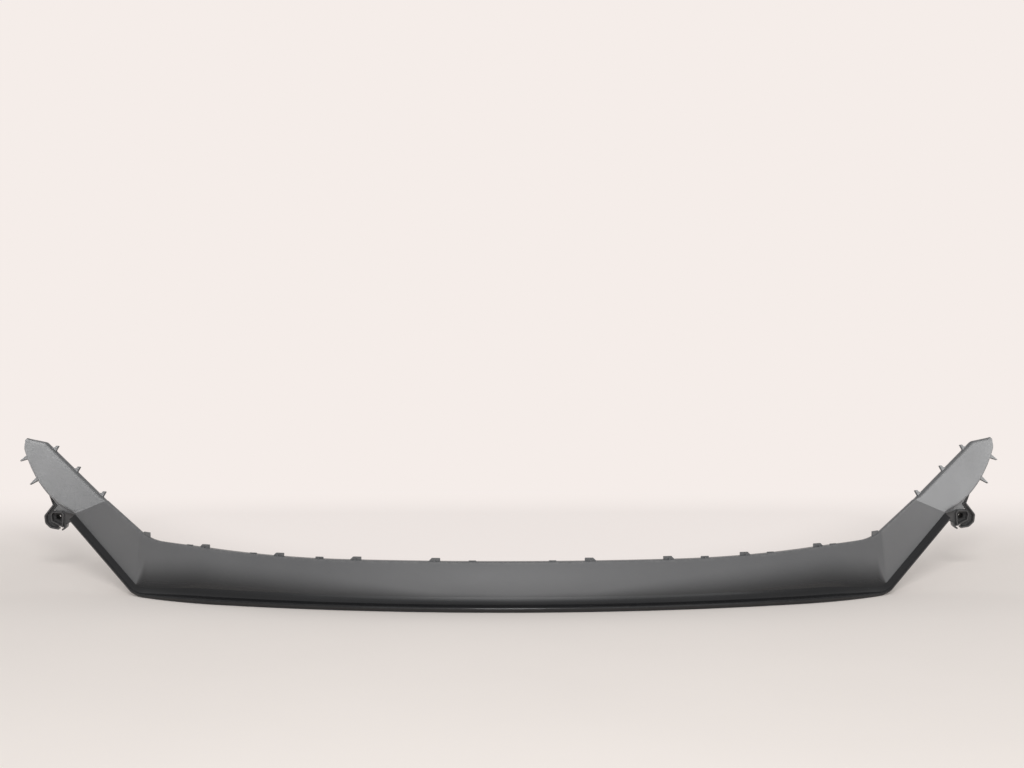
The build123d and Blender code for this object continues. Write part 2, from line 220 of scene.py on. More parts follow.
def crossing(start: tuple, end: tuple, other_start: tuple, other_end: tuple) -> np.ndarray:
    """Point where two flat lines meet.

    Args:
        start: A point of the first line.
        end: Another point of it.
        other_start: A point of the second line.
        other_end: Another point of it.

    Returns:
        The point that lies on both.
    """
    first, base = np.array(start), np.array(other_start)
    way, other_way = np.array(end) - first, np.array(other_end) - base
    share = np.linalg.solve(np.stack((way, -other_way), axis=1), base - first)[0]
    return first + share * way


def resample(path: np.ndarray, shares: np.ndarray) -> np.ndarray:
    """Points of an open path at given shares of its length."""
    run = np.concatenate(([0.0], np.cumsum(np.linalg.norm(np.diff(path, axis=0), axis=1))))
    return np.stack([np.interp(shares * run[-1], run, values) for values in path.T], axis=1)


@dataclass(frozen=True)
class Facet:
    """A flat frame in space: its origin, two directions in the plane and the way it faces."""

    origin: np.ndarray
    across: np.ndarray
    up: np.ndarray
    out: np.ndarray

    @classmethod
    def facing(cls, origin: np.ndarray, across: np.ndarray, out: np.ndarray) -> "Facet":
        """Facet whose second direction is out x across."""
        return cls(origin, across, np.cross(out, across), out)

    def place(self, flat: np.ndarray, lift: np.ndarray | float = 0.0) -> np.ndarray:
        """Flat points carried into space.

        Args:
            flat: Points in the plane, along the last axis.
            lift: Height of each point above the plane.

        Returns:
            origin + u across + v up + lift out.
        """
        height = np.broadcast_to(np.asarray(lift, float), flat.shape[:-1])[..., None]
        return self.origin + flat[..., :1] * self.across + flat[..., 1:2] * self.up + height * self.out


@dataclass(frozen=True)
class Skin:
    """A closed surface as whole arrays: points, each face's corners, and rub and the share of a darker finish
    per point, which also carries painted shade.
    """

    points: np.ndarray
    corners: np.ndarray
    counts: np.ndarray
    rub: np.ndarray
    polish: np.ndarray

    @classmethod
    def quads(cls, points: np.ndarray, quads: np.ndarray, rub: np.ndarray, polish: np.ndarray) -> "Skin":
        """Skin of four-cornered faces, turned outward."""
        return cls(points, quads.ravel(), np.full(len(quads), 4), rub, polish).outward()

    @classmethod
    def carried(cls, rows: np.ndarray, rub: np.ndarray, polish: np.ndarray | float = 0.0) -> "Skin":
        """A closed profile carried along a path, with a flat cap on its first and last row.

        Args:
            rows: Points as rows along the path by columns round the profile by 3.
            rub: How exposed each column is to rubbing, from 0 to 1.
            polish: Share of the darker finish at each point, from 0 to 1, which also carries painted shade.

        Returns:
            The closed skin, faces outward.
        """
        count, columns = rows.shape[:2]
        quads = grid_quads(count, columns, wrap_rows=False)
        last = (count - 1) * columns
        corners = np.concatenate((quads.ravel(), np.arange(columns)[::-1], last + np.arange(columns)))
        counts = np.concatenate((np.full(len(quads), 4), (columns, columns)))
        finish_share = np.broadcast_to(polish, rows.shape[:2]).ravel()
        return cls(rows.reshape(-1, 3), corners, counts, np.tile(rub, count), finish_share).outward()

    @classmethod
    def joined(cls, skins: list["Skin"]) -> "Skin":
        """Several skins as one.

        Args:
            skins: The skins, which may not share points.

        Returns:
            One skin with all their faces.
        """
        offsets = np.concatenate(([0], np.cumsum([len(skin.points) for skin in skins])[:-1]))
        corners = [skin.corners + offset for skin, offset in zip(skins, offsets)]
        points, counts, rub, polish = (np.concatenate([getattr(skin, name) for skin in skins])
                                       for name in ("points", "counts", "rub", "polish"))
        return cls(points, np.concatenate(corners), counts, rub, polish)

    def starts(self) -> np.ndarray:
        """Place of each face's first corner in the list of corners."""
        return np.cumsum(self.counts) - self.counts

    def volume(self) -> float:
        """Enclosed volume by fans of triangles.

        Returns:
            The sum of p0 . (p1 x p2) / 6, negative if the skin is inside out.
        """
        fans = self.counts - 2
        first = np.repeat(self.starts(), fans)
        step = np.arange(len(first)) - np.repeat(np.cumsum(fans) - fans, fans)
        at = [self.points[self.corners[index]] for index in (first, first + step + 1, first + step + 2)]
        return float(np.einsum("ij,ij->", at[0], np.cross(at[1], at[2])) / 6)

    def flipped(self) -> "Skin":
        """The same surface with every face turned over.

        Returns:
            A skin in which each face names its corners from the last to the first.
        """
        start, count = np.repeat(self.starts(), self.counts), np.repeat(self.counts, self.counts)
        step = np.arange(len(self.corners)) - start
        return Skin(self.points, self.corners[start + count - 1 - step], self.counts, self.rub, self.polish)

    def outward(self) -> "Skin":
        """The same surface with its faces pointing out of the volume."""
        return self.flipped() if self.volume() < 0 else self

    def on(self, side: Side) -> "Skin":
        """The skin on one side of the lip.

        Args:
            side: The side it goes on.

        Returns:
            The skin as drawn on the right, or mirrored in X on the left.
        """
        if side is Side.RIGHT:
            return self
        mirrored = Skin(self.points * (-1, 1, 1), self.corners, self.counts, self.rub, self.polish)
        return mirrored.flipped()


def grid_quads(rows: int, columns: int, wrap_rows: bool, wrap_columns: bool = True) -> np.ndarray:
    """Corners of the faces of a grid of points.

    Args:
        rows: Rows of points.
        columns: Points in each row.
        wrap_rows: Whether the last row joins the first.
        wrap_columns: Whether each row's last point joins its first.

    Returns:
        Faces by 4 indices, row by row.
    """
    row = np.arange(rows if wrap_rows else rows - 1)[:, None]
    column = np.arange(columns if wrap_columns else columns - 1)[None, :]
    next_row, next_column = (row + 1) % rows, (column + 1) % columns
    faces = (row * columns + column, row * columns + next_column,
             next_row * columns + next_column, next_row * columns + column)
    return np.stack(np.broadcast_arrays(*faces), axis=-1).reshape(-1, 4)


def prism(outline: np.ndarray, low: float, high: float, bevel: float, facet: Facet) -> Skin:
    """A flat outline given a thickness, with a bevel round both faces.

    Four rings are carried from low to high: inset by the bevel, full, full and inset again.

    Args:
        outline: Closed outline in the facet's plane, anticlockwise.
        low: Height of its lower face above the plane.
        high: Height of its upper face.
        bevel: Width of the bevel.
        facet: Where the plane is.

    Returns:
        The closed skin.
    """
    inset = outline + left_normals(outline, closed=True) * bevel
    flat = np.stack((inset, outline, outline, inset))
    lift = np.array((low, low + bevel, high - bevel, high))[:, None]
    rings = facet.place(flat, np.broadcast_to(lift, flat.shape[:2]))
    return Skin.carried(rings, np.full(len(outline), PLATE_RUB))


class NodeDesk:
    """Adds and links the nodes of one tree."""

    def __init__(self, tree: bpy.types.NodeTree) -> None:
        """Takes the tree to work on."""
        self.tree = tree

    def add(self, kind: str, inputs: dict | None = None, **settings: object) -> bpy.types.Node:
        """Adds a node.

        Args:
            kind: The node's type.
            inputs: Values or sockets for its inputs, by name or number.
            settings: Other properties of the node.

        Returns:
            The node.
        """
        node = self.tree.nodes.new(kind)
        for name, value in settings.items():
            setattr(node, name, value)
        for key, value in (inputs or {}).items():
            if isinstance(value, bpy.types.NodeSocket):
                self.tree.links.new(value, node.inputs[key])
            else:
                node.inputs[key].default_value = value
        return node

    def math(self, operation: str, first: object, second: object = 0.0) -> bpy.types.NodeSocket:
        """Result of a math node on two values or sockets."""
        return self.add("ShaderNodeMath", {0: first, 1: second}, operation=operation).outputs[0]

    def mix(self, share: object, first: object, second: object) -> bpy.types.NodeSocket:
        """Two colours mixed by a share."""
        return self.add("ShaderNodeMix", {0: share, 6: first, 7: second}, data_type="RGBA").outputs[2]

    def blend(self, share: object, first: object, second: object) -> bpy.types.NodeSocket:
        """Two single values mixed by a share."""
        return self.add("ShaderNodeMix", {0: share, 2: first, 3: second}, data_type="FLOAT").outputs[0]

    def spread(self, value: object, low: float, high: float, to_low: float,
               to_high: float) -> bpy.types.NodeSocket:
        """A value carried from one range to another and held inside it."""
        inputs = {0: value, 1: low, 2: high, 3: to_low, 4: to_high}
        return self.add("ShaderNodeMapRange", inputs, clamp=True).outputs[0]

    def smooth(self, value: object, low: object, high: object) -> bpy.types.NodeSocket:
        """Share from 0 at low to 1 at high, level at both."""
        inputs = {0: value, 1: low, 2: high}
        return self.add("ShaderNodeMapRange", inputs, interpolation_type="SMOOTHSTEP").outputs[0]

    def noise(self, vector: object, scale: object, detail: float = 3.0,
              roughness: float = 0.5) -> bpy.types.NodeSocket:
        """Cloudy values from 0 to 1."""
        inputs = {"Vector": vector, "Scale": scale, "Detail": detail, "Roughness": roughness}
        return self.add("ShaderNodeTexNoise", inputs).outputs[0]


class SurfaceEffects:
    """Shader groups that more than one finish uses, each built once."""

    speckle_finer: float = 2.3
    pebble_share: float = 0.7
    speckle_share: float = 0.5
    patch_range: tuple[float, float] = (0.42, 0.72)
    drift_scale: float = 22.0
    drift_range: tuple[float, float] = (0.35, 0.75)
    least_drift: float = 0.2
    least_veil: float = 0.05
    speck_edge: tuple[float, float] = (0.05, 0.11)
    cluster_scale: float = 60.0
    cluster_range: tuple[float, float] = (0.58, 0.62)

    def __init__(self) -> None:
        """Builds the groups."""
        self.grain = self.make_grain()
        self.rub = self.make_rub()
        self.dust = self.make_dust()

    @staticmethod
    def new_group(name: str, inputs: dict[str, str],
                  outputs: list[str]) -> tuple[NodeDesk, dict, bpy.types.Node]:
        """Starts a group.

        Args:
            name: The group's name.
            inputs: Socket type of each named input.
            outputs: Names of its outputs, all single values.

        Returns:
            The desk of its tree, its input sockets by name, and its output node.
        """
        tree = bpy.data.node_groups.new(name, "ShaderNodeTree")
        for label, kind in inputs.items():
            tree.interface.new_socket(name=label, in_out="INPUT", socket_type=kind)
        for label in outputs:
            tree.interface.new_socket(name=label, in_out="OUTPUT", socket_type="NodeSocketFloat")
        desk = NodeDesk(tree)
        entry, leave = desk.add("NodeGroupInput"), desk.add("NodeGroupOutput")
        return desk, {label: entry.outputs[label] for label in inputs}, leave

    def make_grain(self) -> bpy.types.NodeTree:
        """Moulded grain: small pebbles under finer speckle, with slow clouds of tone.

        Returns:
            The group, whose Height is a sum of cells and noise, and Clouds a wide noise.
        """
        desk, given, leave = self.new_group("mould_grain", {
            "Vector": "NodeSocketVector", "Scale": "NodeSocketFloat", "Cloud Scale": "NodeSocketFloat"},
            ["Height", "Clouds"])
        pebbles = desk.add("ShaderNodeTexVoronoi", {"Vector": given["Vector"], "Scale": given["Scale"]},
                           feature="SMOOTH_F1").outputs[0]
        fine = desk.math("MULTIPLY", given["Scale"], self.speckle_finer)
        speckle = desk.noise(given["Vector"], fine, detail=2.0)
        height = desk.math("ADD", desk.math("MULTIPLY", pebbles, self.pebble_share),
                           desk.math("MULTIPLY", speckle, self.speckle_share))
        clouds = desk.noise(given["Vector"], given["Cloud Scale"], detail=4.0, roughness=0.55)
        desk.tree.links.new(height, leave.inputs["Height"])
        desk.tree.links.new(clouds, leave.inputs["Clouds"])
        return desk.tree

    def make_rub(self) -> bpy.types.NodeTree:
        """Rubbed edges: the exposed edge broken up by noise.

        Returns:
            The group, whose Mask is Edge times patches of noise.
        """
        desk, given, leave = self.new_group("edge_rub", {
            "Vector": "NodeSocketVector", "Edge": "NodeSocketFloat", "Scale": "NodeSocketFloat"}, ["Mask"])
        noise = desk.noise(given["Vector"], given["Scale"], detail=5.0, roughness=0.65)
        patches = desk.spread(noise, *self.patch_range, 0.0, 1.0)
        desk.tree.links.new(desk.math("MULTIPLY", given["Edge"], patches), leave.inputs["Mask"])
        return desk.tree

    def make_dust(self) -> bpy.types.NodeTree:
        """Dust: a thin veil on what faces up, with scattered specks everywhere.

        Returns:
            The group, whose Veil is drifts of noise times Upward, and Specks the hearts of a few cells.
        """
        desk, given, leave = self.new_group("settled_dust", {
            "Vector": "NodeSocketVector", "Upward": "NodeSocketFloat", "Speck Scale": "NodeSocketFloat"},
            ["Veil", "Specks"])
        noise = desk.noise(given["Vector"], self.drift_scale, detail=4.0, roughness=0.6)
        drifts = desk.spread(noise, *self.drift_range, self.least_drift, 1.0)
        veil = desk.math("MULTIPLY", drifts, desk.spread(given["Upward"], 0.0, 1.0, self.least_veil, 1.0))
        cells = desk.add("ShaderNodeTexVoronoi", {"Vector": given["Vector"], "Scale": given["Speck Scale"],
                                                  "Randomness": 1.0})
        small = desk.spread(cells.outputs[0], *self.speck_edge, 1.0, 0.0)
        clusters = desk.noise(given["Vector"], self.cluster_scale, detail=2.0)
        chosen = desk.spread(clusters, *self.cluster_range, 0.0, 1.0)
        desk.tree.links.new(veil, leave.inputs["Veil"])
        desk.tree.links.new(desk.math("MULTIPLY", small, chosen), leave.inputs["Specks"])
        return desk.tree


@dataclass(frozen=True)
class Finish:
    """A moulded plastic finish: its tones, gloss, grain, rubbed edges and dust.

    Scales are per metre, and the grain's depth is in metres.
    """

    name: str
    tone: tuple[float, float, float]
    cloud_tone: tuple[float, float, float]
    rub_tone: tuple[float, float, float]
    dust_tone: tuple[float, float, float]
    roughness: float
    roughness_swing: float
    grain_scale: float
    grain_depth: float
    cloud_scale: float
    rub_share: float
    veil_share: float
    speck_share: float
    rub_scale: float = 140.0
    speck_scale: float = 420.0
    cloud_range: tuple[float, float] = (0.3, 0.7)
    coat: float = 0.0

    def layers(self, desk: NodeDesk, effects: SurfaceEffects) -> tuple[bpy.types.NodeSocket, ...]:
        """Adds the finish's nodes to a material.

        Args:
            desk: The material's desk.
            effects: The shared shader groups.

        Returns:
            Sockets of its colour, its roughness and its grain's height in metres.
        """
        place = desk.add("ShaderNodeTexCoord").outputs["Object"]
        normal = desk.add("ShaderNodeNewGeometry").outputs["Normal"]
        upward = desk.add("ShaderNodeSeparateXYZ", {0: normal}).outputs["Z"]
        edge = desk.add("ShaderNodeAttribute", attribute_name="rub").outputs["Fac"]
        grain = desk.add("ShaderNodeGroup", {
            "Vector": place, "Scale": self.grain_scale, "Cloud Scale": self.cloud_scale},
            node_tree=effects.grain)
        rub = desk.add("ShaderNodeGroup", {
            "Vector": place, "Edge": edge, "Scale": self.rub_scale}, node_tree=effects.rub)
        dust = desk.add("ShaderNodeGroup", {
            "Vector": place, "Upward": upward, "Speck Scale": self.speck_scale}, node_tree=effects.dust)
        clouds = desk.spread(grain.outputs["Clouds"], *self.cloud_range, 0.0, 1.0)
        colour = desk.mix(clouds, (*self.tone, 1.0), (*self.cloud_tone, 1.0))
        rubbed = desk.math("MULTIPLY", rub.outputs["Mask"], self.rub_share)
        colour = desk.mix(rubbed, colour, (*self.rub_tone, 1.0))
        veil = desk.math("MULTIPLY", dust.outputs["Veil"], self.veil_share)
        specks = desk.math("MULTIPLY", dust.outputs["Specks"], self.speck_share)
        dusty = desk.math("MAXIMUM", veil, specks)
        colour = desk.mix(dusty, colour, (*self.dust_tone, 1.0))
        low, high = self.roughness - self.roughness_swing, self.roughness + self.roughness_swing
        gloss = desk.math("ADD", desk.spread(clouds, 0.0, 1.0, low, high),
                          desk.math("MULTIPLY", dusty, DUST_ROUGHNESS))
        height = desk.math("MULTIPLY", grain.outputs["Height"], self.grain_depth)
        return colour, gloss, height

    def material(self, effects: SurfaceEffects, other_finish: "Finish | None" = None) -> bpy.types.Material:
        """Builds the material of this finish alone, or of this one turning into another.

        Args:
            effects: The shared shader groups.
            other_finish: The other finish, found where the piece's polish attribute is 1. The colour darkens
                towards it by that share, which on the lip's face and in the screw's bore is painted shade.

        Returns:
            A material that reads Object coordinates and the piece's own attributes.
        """
        material = bpy.data.materials.new(self.name)
        material.use_nodes = True
        material.node_tree.nodes.clear()
        desk = NodeDesk(material.node_tree)
        colour, gloss, height = self.layers(desk, effects)
        coat = self.coat
        if other_finish:
            # The darker finish's share darkens the colour: the gloss band, and painted shade up the lip's
            # face and in the screw's bore.
            share = desk.add("ShaderNodeAttribute", attribute_name="polish").outputs["Fac"]
            other_colour, other_gloss, other_height = other_finish.layers(desk, effects)
            finish_share = desk.smooth(share, SHINE_FROM, 1.0)
            colour = desk.mix(share, colour, other_colour)
            gloss = desk.blend(finish_share, gloss, other_gloss)
            height = desk.blend(finish_share, height, other_height)
            coat = desk.blend(finish_share, self.coat, other_finish.coat)
        bump = desk.add("ShaderNodeBump", {"Strength": 1.0, "Distance": 1.0, "Height": height})
        shader = desk.add("ShaderNodeBsdfPrincipled", {
            "Base Color": colour, "Roughness": gloss, "Normal": bump.outputs["Normal"],
            "Coat Weight": coat, "Coat Roughness": COAT_ROUGHNESS})
        desk.add("ShaderNodeOutputMaterial", {"Surface": shader.outputs[0]})
        return material


SATIN_GREY = Finish(
    name="satin_grained_plastic", tone=(0.113, 0.115, 0.119), cloud_tone=(0.126, 0.128, 0.132),
    rub_tone=(0.20, 0.20, 0.20), dust_tone=(0.30, 0.29, 0.27), roughness=0.40, roughness_swing=0.03,
    grain_scale=950.0, grain_depth=0.00012, cloud_scale=9.0, rub_share=0.5, veil_share=0.03, speck_share=0.25)
GLOSS_BLACK = Finish(
    name="gloss_black_plastic", tone=(0.004, 0.004, 0.005), cloud_tone=(0.006, 0.006, 0.007),
    rub_tone=(0.06, 0.06, 0.06), dust_tone=(0.25, 0.24, 0.23), roughness=0.16, roughness_swing=0.03,
    grain_scale=300.0, grain_depth=0.00001, cloud_scale=14.0, rub_share=0.25, veil_share=0.02,
    speck_share=0.35, coat=0.25)
RAW_BLACK = Finish(
    name="raw_black_plastic", tone=(0.068, 0.067, 0.069), cloud_tone=(0.08, 0.079, 0.08),
    rub_tone=(0.08, 0.08, 0.08), dust_tone=(0.28, 0.27, 0.25), roughness=0.38, roughness_swing=0.05,
    grain_scale=700.0, grain_depth=0.00006, cloud_scale=20.0, rub_share=0.4, veil_share=0.05,
    speck_share=0.25)
# Near-black, fully rough lining of the screw's bore: painted shade in the hole, not a plastic of its own.
BORE_SHADE = Finish(
    name="rough_bore_plastic", tone=(0.004, 0.004, 0.004), cloud_tone=(0.006, 0.006, 0.006),
    rub_tone=(0.02, 0.02, 0.02), dust_tone=(0.02, 0.02, 0.02), roughness=0.92, roughness_swing=0.05,
    grain_scale=500.0, grain_depth=0.0002, cloud_scale=60.0, rub_share=0.2, veil_share=0.0, speck_share=0.0)


class Placer:
    """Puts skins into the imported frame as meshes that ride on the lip."""

    def __init__(self, low: np.ndarray, trim: float) -> None:
        """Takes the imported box's lowest corner, in metres, and what was trimmed off the underside."""
        self.shift = np.array((0.0, low[1], -trim * METRES))

    def piece(self, name: str, skin: Skin, material: bpy.types.Material) -> bpy.types.Object:
        """Makes a mesh object of a skin.

        Args:
            name: The piece's name.
            skin: Its surface, in the drawing frame.
            material: Its finish.

        Returns:
            The object, at the origin, riding on the lip, with its underside trimmed level.
        """
        points = skin.points * METRES + self.shift
        points[:, 2] = np.maximum(points[:, 2], 0.0)
        mesh = bpy.data.meshes.new(name)
        mesh.vertices.add(len(points))
        mesh.vertices.foreach_set("co", points.astype(np.float32).ravel())
        mesh.loops.add(len(skin.corners))
        mesh.loops.foreach_set("vertex_index", skin.corners.astype(np.int32))
        mesh.polygons.add(len(skin.counts))
        mesh.polygons.foreach_set("loop_start", skin.starts().astype(np.int32))
        for label, values in (("rub", skin.rub), ("polish", skin.polish)):
            mesh.attributes.new(label, "FLOAT", "POINT").data.foreach_set("value", values.astype(np.float32))
        mesh.update(calc_edges=True)
        mesh.validate()
        mesh.shade_smooth()
        mesh.set_sharp_from_angle(angle=SHARP_ANGLE)
        mesh.materials.append(material)
        piece = bpy.data.objects.new(name, mesh)
        bpy.context.scene.collection.objects.link(piece)
        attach(piece, BODY)
        LOG.info("%s: %d points, %d faces", name, len(points), len(skin.counts))
        return piece


@dataclass(frozen=True)
class Rows:
    """What each cross-section of the shell is built on: places, directions and sizes, one in each row."""

    nose: np.ndarray
    outward: np.ndarray
    foot: np.ndarray
    top: np.ndarray
    face_out: np.ndarray
    flange_back: np.ndarray
    flange_up: np.ndarray
    sizes: np.ndarray

    def joined(self, other: "Rows") -> "Rows":
        """These rows followed by others."""
        pairs = zip(vars(self).values(), vars(other).values())
        return Rows(*(np.concatenate(pair) for pair in pairs))

    def both_sides(self) -> "Rows":
        """The left half's rows, then these.

        Returns:
            The mirrored rows from the last to the second, followed by the rows as they are.
        """
        flip = np.array((-1.0, 1.0, 1.0))
        fields = list(vars(self).values())
        left = [field[:0:-1] * flip for field in fields[:-1]] + [fields[-1][:0:-1]]
        return Rows(*left).joined(self)


@dataclass(frozen=True)
class LipShell:
    """The lip from crease to crease: face, flanges and the blade along its foot.

    A pair gives a size in the middle and at the wings. The colour fades from satin into gloss black between
    two heights over the face's foot, polish_low and polish_high, which are given at some places along the
    nose. In the middle and at the wings the fade is the gloss band itself; between them it reaches far up the
    face, and that darkening towards the foot and into the bend is painted shade.
    """

    wall: float = 2.8
    underside_trim: float = 0.3
    edge_round: float = 1.5
    mid_radius: float = 1690.0
    mid_turn: float = 15.0
    corner_radius: float = 460.0
    corner_turn: float = 35.0
    turn_soft: float = 34.0
    blade_reach: tuple[float, float] = (16.0, 10.5)
    blade_height: tuple[float, float] = (20.0, 11.0)
    nose_edge: tuple[float, float] = (8.0, 5.0)
    nose_hollow: tuple[float, float] = (8.0, 2.0)
    hollow_gap: tuple[float, float] = (3.4, 1.4)
    top_flange: tuple[float, float] = (9.0, 5.0)
    bottom_flange: tuple[float, float] = (26.0, 12.0)
    face_crown: tuple[float, float] = (1.6, 0.0)
    flare_bow: tuple[float, float] = (0.2, 0.06)
    face_lean: tuple[float, float] = (11.0, 8.5)
    nose_round: float = 2.0
    nose_top_round: tuple[float, float] = (2.8, 2.2)
    inner_bow_share: float = 0.75
    # Heights of the fade into gloss black along the nose: a few mm at the middle and the wings, the gloss
    # band itself; up to 54 mm up the face between them, painted shade towards the foot and into the bend.
    gloss_shade_places: tuple[float, ...] = (0.0, 120.0, 300.0, 480.0, 560.0, 588.0, 602.0)
    polish_low: tuple[float, ...] = (-11.0, -11.0, -15.0, -6.0, -3.0, -2.0, -0.6)
    polish_high: tuple[float, ...] = (5.0, 9.0, 35.0, 54.0, 54.0, 52.0, 0.6)
    taper_from: float = 470.0
    face_top_mid: float = 69.7
    top_rise_from: float = 340.0
    top_rise_soft: float = 90.0
    top_rise_slope: float = 0.067
    top_bend_before: float = 22.0
    top_bend_soft: float = 22.0
    wing_heading: float = 40.0
    foot_climb: float = 28.0
    foot_bend_before: float = 10.0
    foot_bend_soft: float = 18.0
    top_climb: float = 22.8
    foot_run: float = 170.0
    top_run: float = 94.0
    crease_turn: float = 13.0
    flange_turn_share: float = 0.125
    bow_steps: int = 120
    bend_length: float = 70.0
    bend_steps: int = 44
    wing_steps: int = 26
    flare_steps: int = 14
    face_steps: int = 26
    face_crowding: float = 1.5
    back_steps: int = 10
    round_steps: int = 7
    nose_top_steps: int = 8
    flat_steps: int = 4
    thickness_steps: int = 2
    underflange_steps: int = 3
    bottom_flange_steps: int = 5
    underside_steps: int = 8

    @property
    def mid_length(self) -> float:
        """Length of the nose's wide middle arc, on one side."""
        return self.mid_radius * math.radians(self.mid_turn)

    @property
    def bend_run(self) -> float:
        """Distance along the nose from the middle to the bend line."""
        return self.mid_length + self.corner_radius * math.radians(self.corner_turn - self.mid_turn)

    def bow_rows(self, run: np.ndarray) -> Rows:
        """Cross-sections of the right half of the bow, square to the nose.

        Args:
            run: Distances along the nose from the middle.

        Returns:
            The rows: two arcs seen from above, the underside and the top edge climbing by soft_run, and every
            size eased from its middle to its wing value by smooth_share.
        """
        share = smooth_share(run, self.taper_from, self.bend_run)
        turn = np.minimum(run, self.mid_length) / self.mid_radius
        heading = turn + np.maximum(run - self.mid_length, 0.0) / self.corner_radius
        x = self.mid_radius * np.sin(turn) + self.corner_radius * (np.sin(heading) - np.sin(turn))
        y = self.mid_radius * (1 - np.cos(turn)) + self.corner_radius * (np.cos(turn) - np.cos(heading))
        climb = math.tan(math.radians(self.foot_climb))
        z = climb * soft_run(run, self.bend_run - self.foot_bend_before, self.foot_bend_soft)
        last_turn = math.radians(self.wing_heading - self.corner_turn)
        heading = heading + last_turn * smooth_share(run, self.bend_run - self.turn_soft, self.bend_run)
        outward = np.stack((np.sin(heading), -np.cos(heading), np.zeros_like(run)), axis=1)
        pairs = (self.blade_reach, self.blade_height, self.nose_edge, self.nose_hollow, self.hollow_gap,
                 self.top_flange, self.bottom_flange, self.face_crown, self.flare_bow, self.nose_top_round)
        eased = [middle + share * (wing - middle) for middle, wing in pairs]
        polish = [np.interp(run, self.gloss_shade_places, fade) for fade in (self.polish_low, self.polish_high)]
        sizes = np.stack(eased + polish, axis=1)
        lean = np.radians(self.face_lean[0] + share * (self.face_lean[1] - self.face_lean[0]))[:, None]
        droop = (share * math.radians(self.face_lean[1]))[:, None]
        nose = np.stack((x, y, z), axis=1)
        foot = nose - outward * sizes[:, [Size.REACH]] + UP * sizes[:, [Size.HEIGHT]]
        climb = math.tan(math.radians(self.top_climb)) - self.top_rise_slope
        slow = self.top_rise_slope * soft_run(run, self.top_rise_from, self.top_rise_soft)
        steep = climb * soft_run(run, self.bend_run - self.top_bend_before, self.top_bend_soft)
        top_z = self.face_top_mid + slow + steep
        rise = (top_z - foot[:, 2])[:, None]
        top = foot + rise * (UP - outward * np.tan(lean))
        face_out = outward * np.cos(lean) + UP * np.sin(lean)
        flange_back = -outward * np.cos(droop) - UP * np.sin(droop)
        flange_up = -outward * np.sin(droop) + UP * np.cos(droop)
        return Rows(nose, outward, foot, top, face_out, flange_back, flange_up, sizes)

    def end_row(self) -> Rows:
        """The cross-section at the bend line."""
        return self.bow_rows(np.array((self.bend_run,)))

    def lower_facet(self) -> Facet:
        """Plane of the right lower wing.

        Returns:
            A facet from the foot of the bend line, level along the wing's heading, facing as the face does.
        """
        end = self.end_row()
        heading = math.radians(self.wing_heading)
        along = np.array((math.cos(heading), math.sin(heading), 0.0))
        return Facet.facing(end.foot[0], along, end.face_out[0])

    def crease(self) -> tuple[np.ndarray, np.ndarray]:
        """The right crease in the lower wing's plane.

        Returns:
            Its outer and its inner end, each a run times (1, tan(climb)) from its end of the bend line.
        """
        end = self.end_row()
        height = np.linalg.norm(end.top[0] - end.foot[0])
        outer = np.array((self.foot_run, self.foot_run * math.tan(math.radians(self.foot_climb))))
        inner = np.array((self.top_run, height + self.top_run * math.tan(math.radians(self.top_climb))))
        return outer, inner

    def upper_facet(self) -> Facet:
        """Plane of the right upper wing.

        Returns:
            The lower wing's plane turned about the crease: out cos(t) + (crease x out) sin(t).
        """
        lower = self.lower_facet()
        outer, inner = (lower.place(point) for point in self.crease())
        axis, turn = unit(outer - inner), -math.radians(self.crease_turn)
        out = lower.out * math.cos(turn) + np.cross(axis, lower.out) * math.sin(turn)
        return Facet.facing(outer, axis, out)

    def wing_rows(self, share: np.ndarray) -> Rows:
        """Rows of the right lower wing.

        Args:
            share: Shares of the way from the bend line to the crease.

        Returns:
            The bend's section moved along the foot, with its top on the straight line to the inner crease.
        """
        end, lower = self.end_row(), self.lower_facet()
        outer, inner = (lower.place(point) for point in self.crease())
        part = share[:, None]
        way = part * (outer - lower.origin)
        edge_way = unit(inner - end.top[0])
        full_up = np.cross(lower.out, edge_way)
        turn_in = np.minimum(part / self.flange_turn_share, 1.0)
        flange_up = unit(end.flange_up * (1 - turn_in) + full_up * turn_in)
        same = np.ones_like(part)
        return Rows(end.nose + way, end.outward * same, end.foot + way, end.top * (1 - part) + inner * part,
                    lower.out * same, -lower.out * same, flange_up, end.sizes * same)

    def rows(self) -> Rows:
        """Every row of the shell.

        Returns:
            The rows from the left crease to the right one, closer together at the bends.
        """
        bend_start = self.bend_run - self.bend_length
        run = np.concatenate((np.linspace(0.0, bend_start, self.bow_steps),
                              np.linspace(bend_start, self.bend_run, self.bend_steps + 1)[1:]))
        share = np.linspace(0.0, 1.0, self.wing_steps + 1)[1:]
        return self.bow_rows(run).joined(self.wing_rows(share)).both_sides()

    def columns(self, rows: Rows) -> list[tuple[np.ndarray, float, np.ndarray | float]]:
        """The profile's stretches in order, each with how exposed to rubbing and its share of gloss black,
        which up the face is painted shade.

        Args:
            rows: The cross-sections.

        Returns:
            Stretches of rows by steps by 3, which together go once round the section.
        """
        (reach, height, edge, hollow, gap, top_flange, bottom_flange, crown,
         bow, top_round, polish_low, polish_high) = (rows.sizes[:, [column]] for column in Size)

        def spot(out: np.ndarray | float, up: np.ndarray | float) -> np.ndarray:
            """Point of each section, measured outward and up from its nose."""
            return rows.nose + rows.outward * out + UP * up

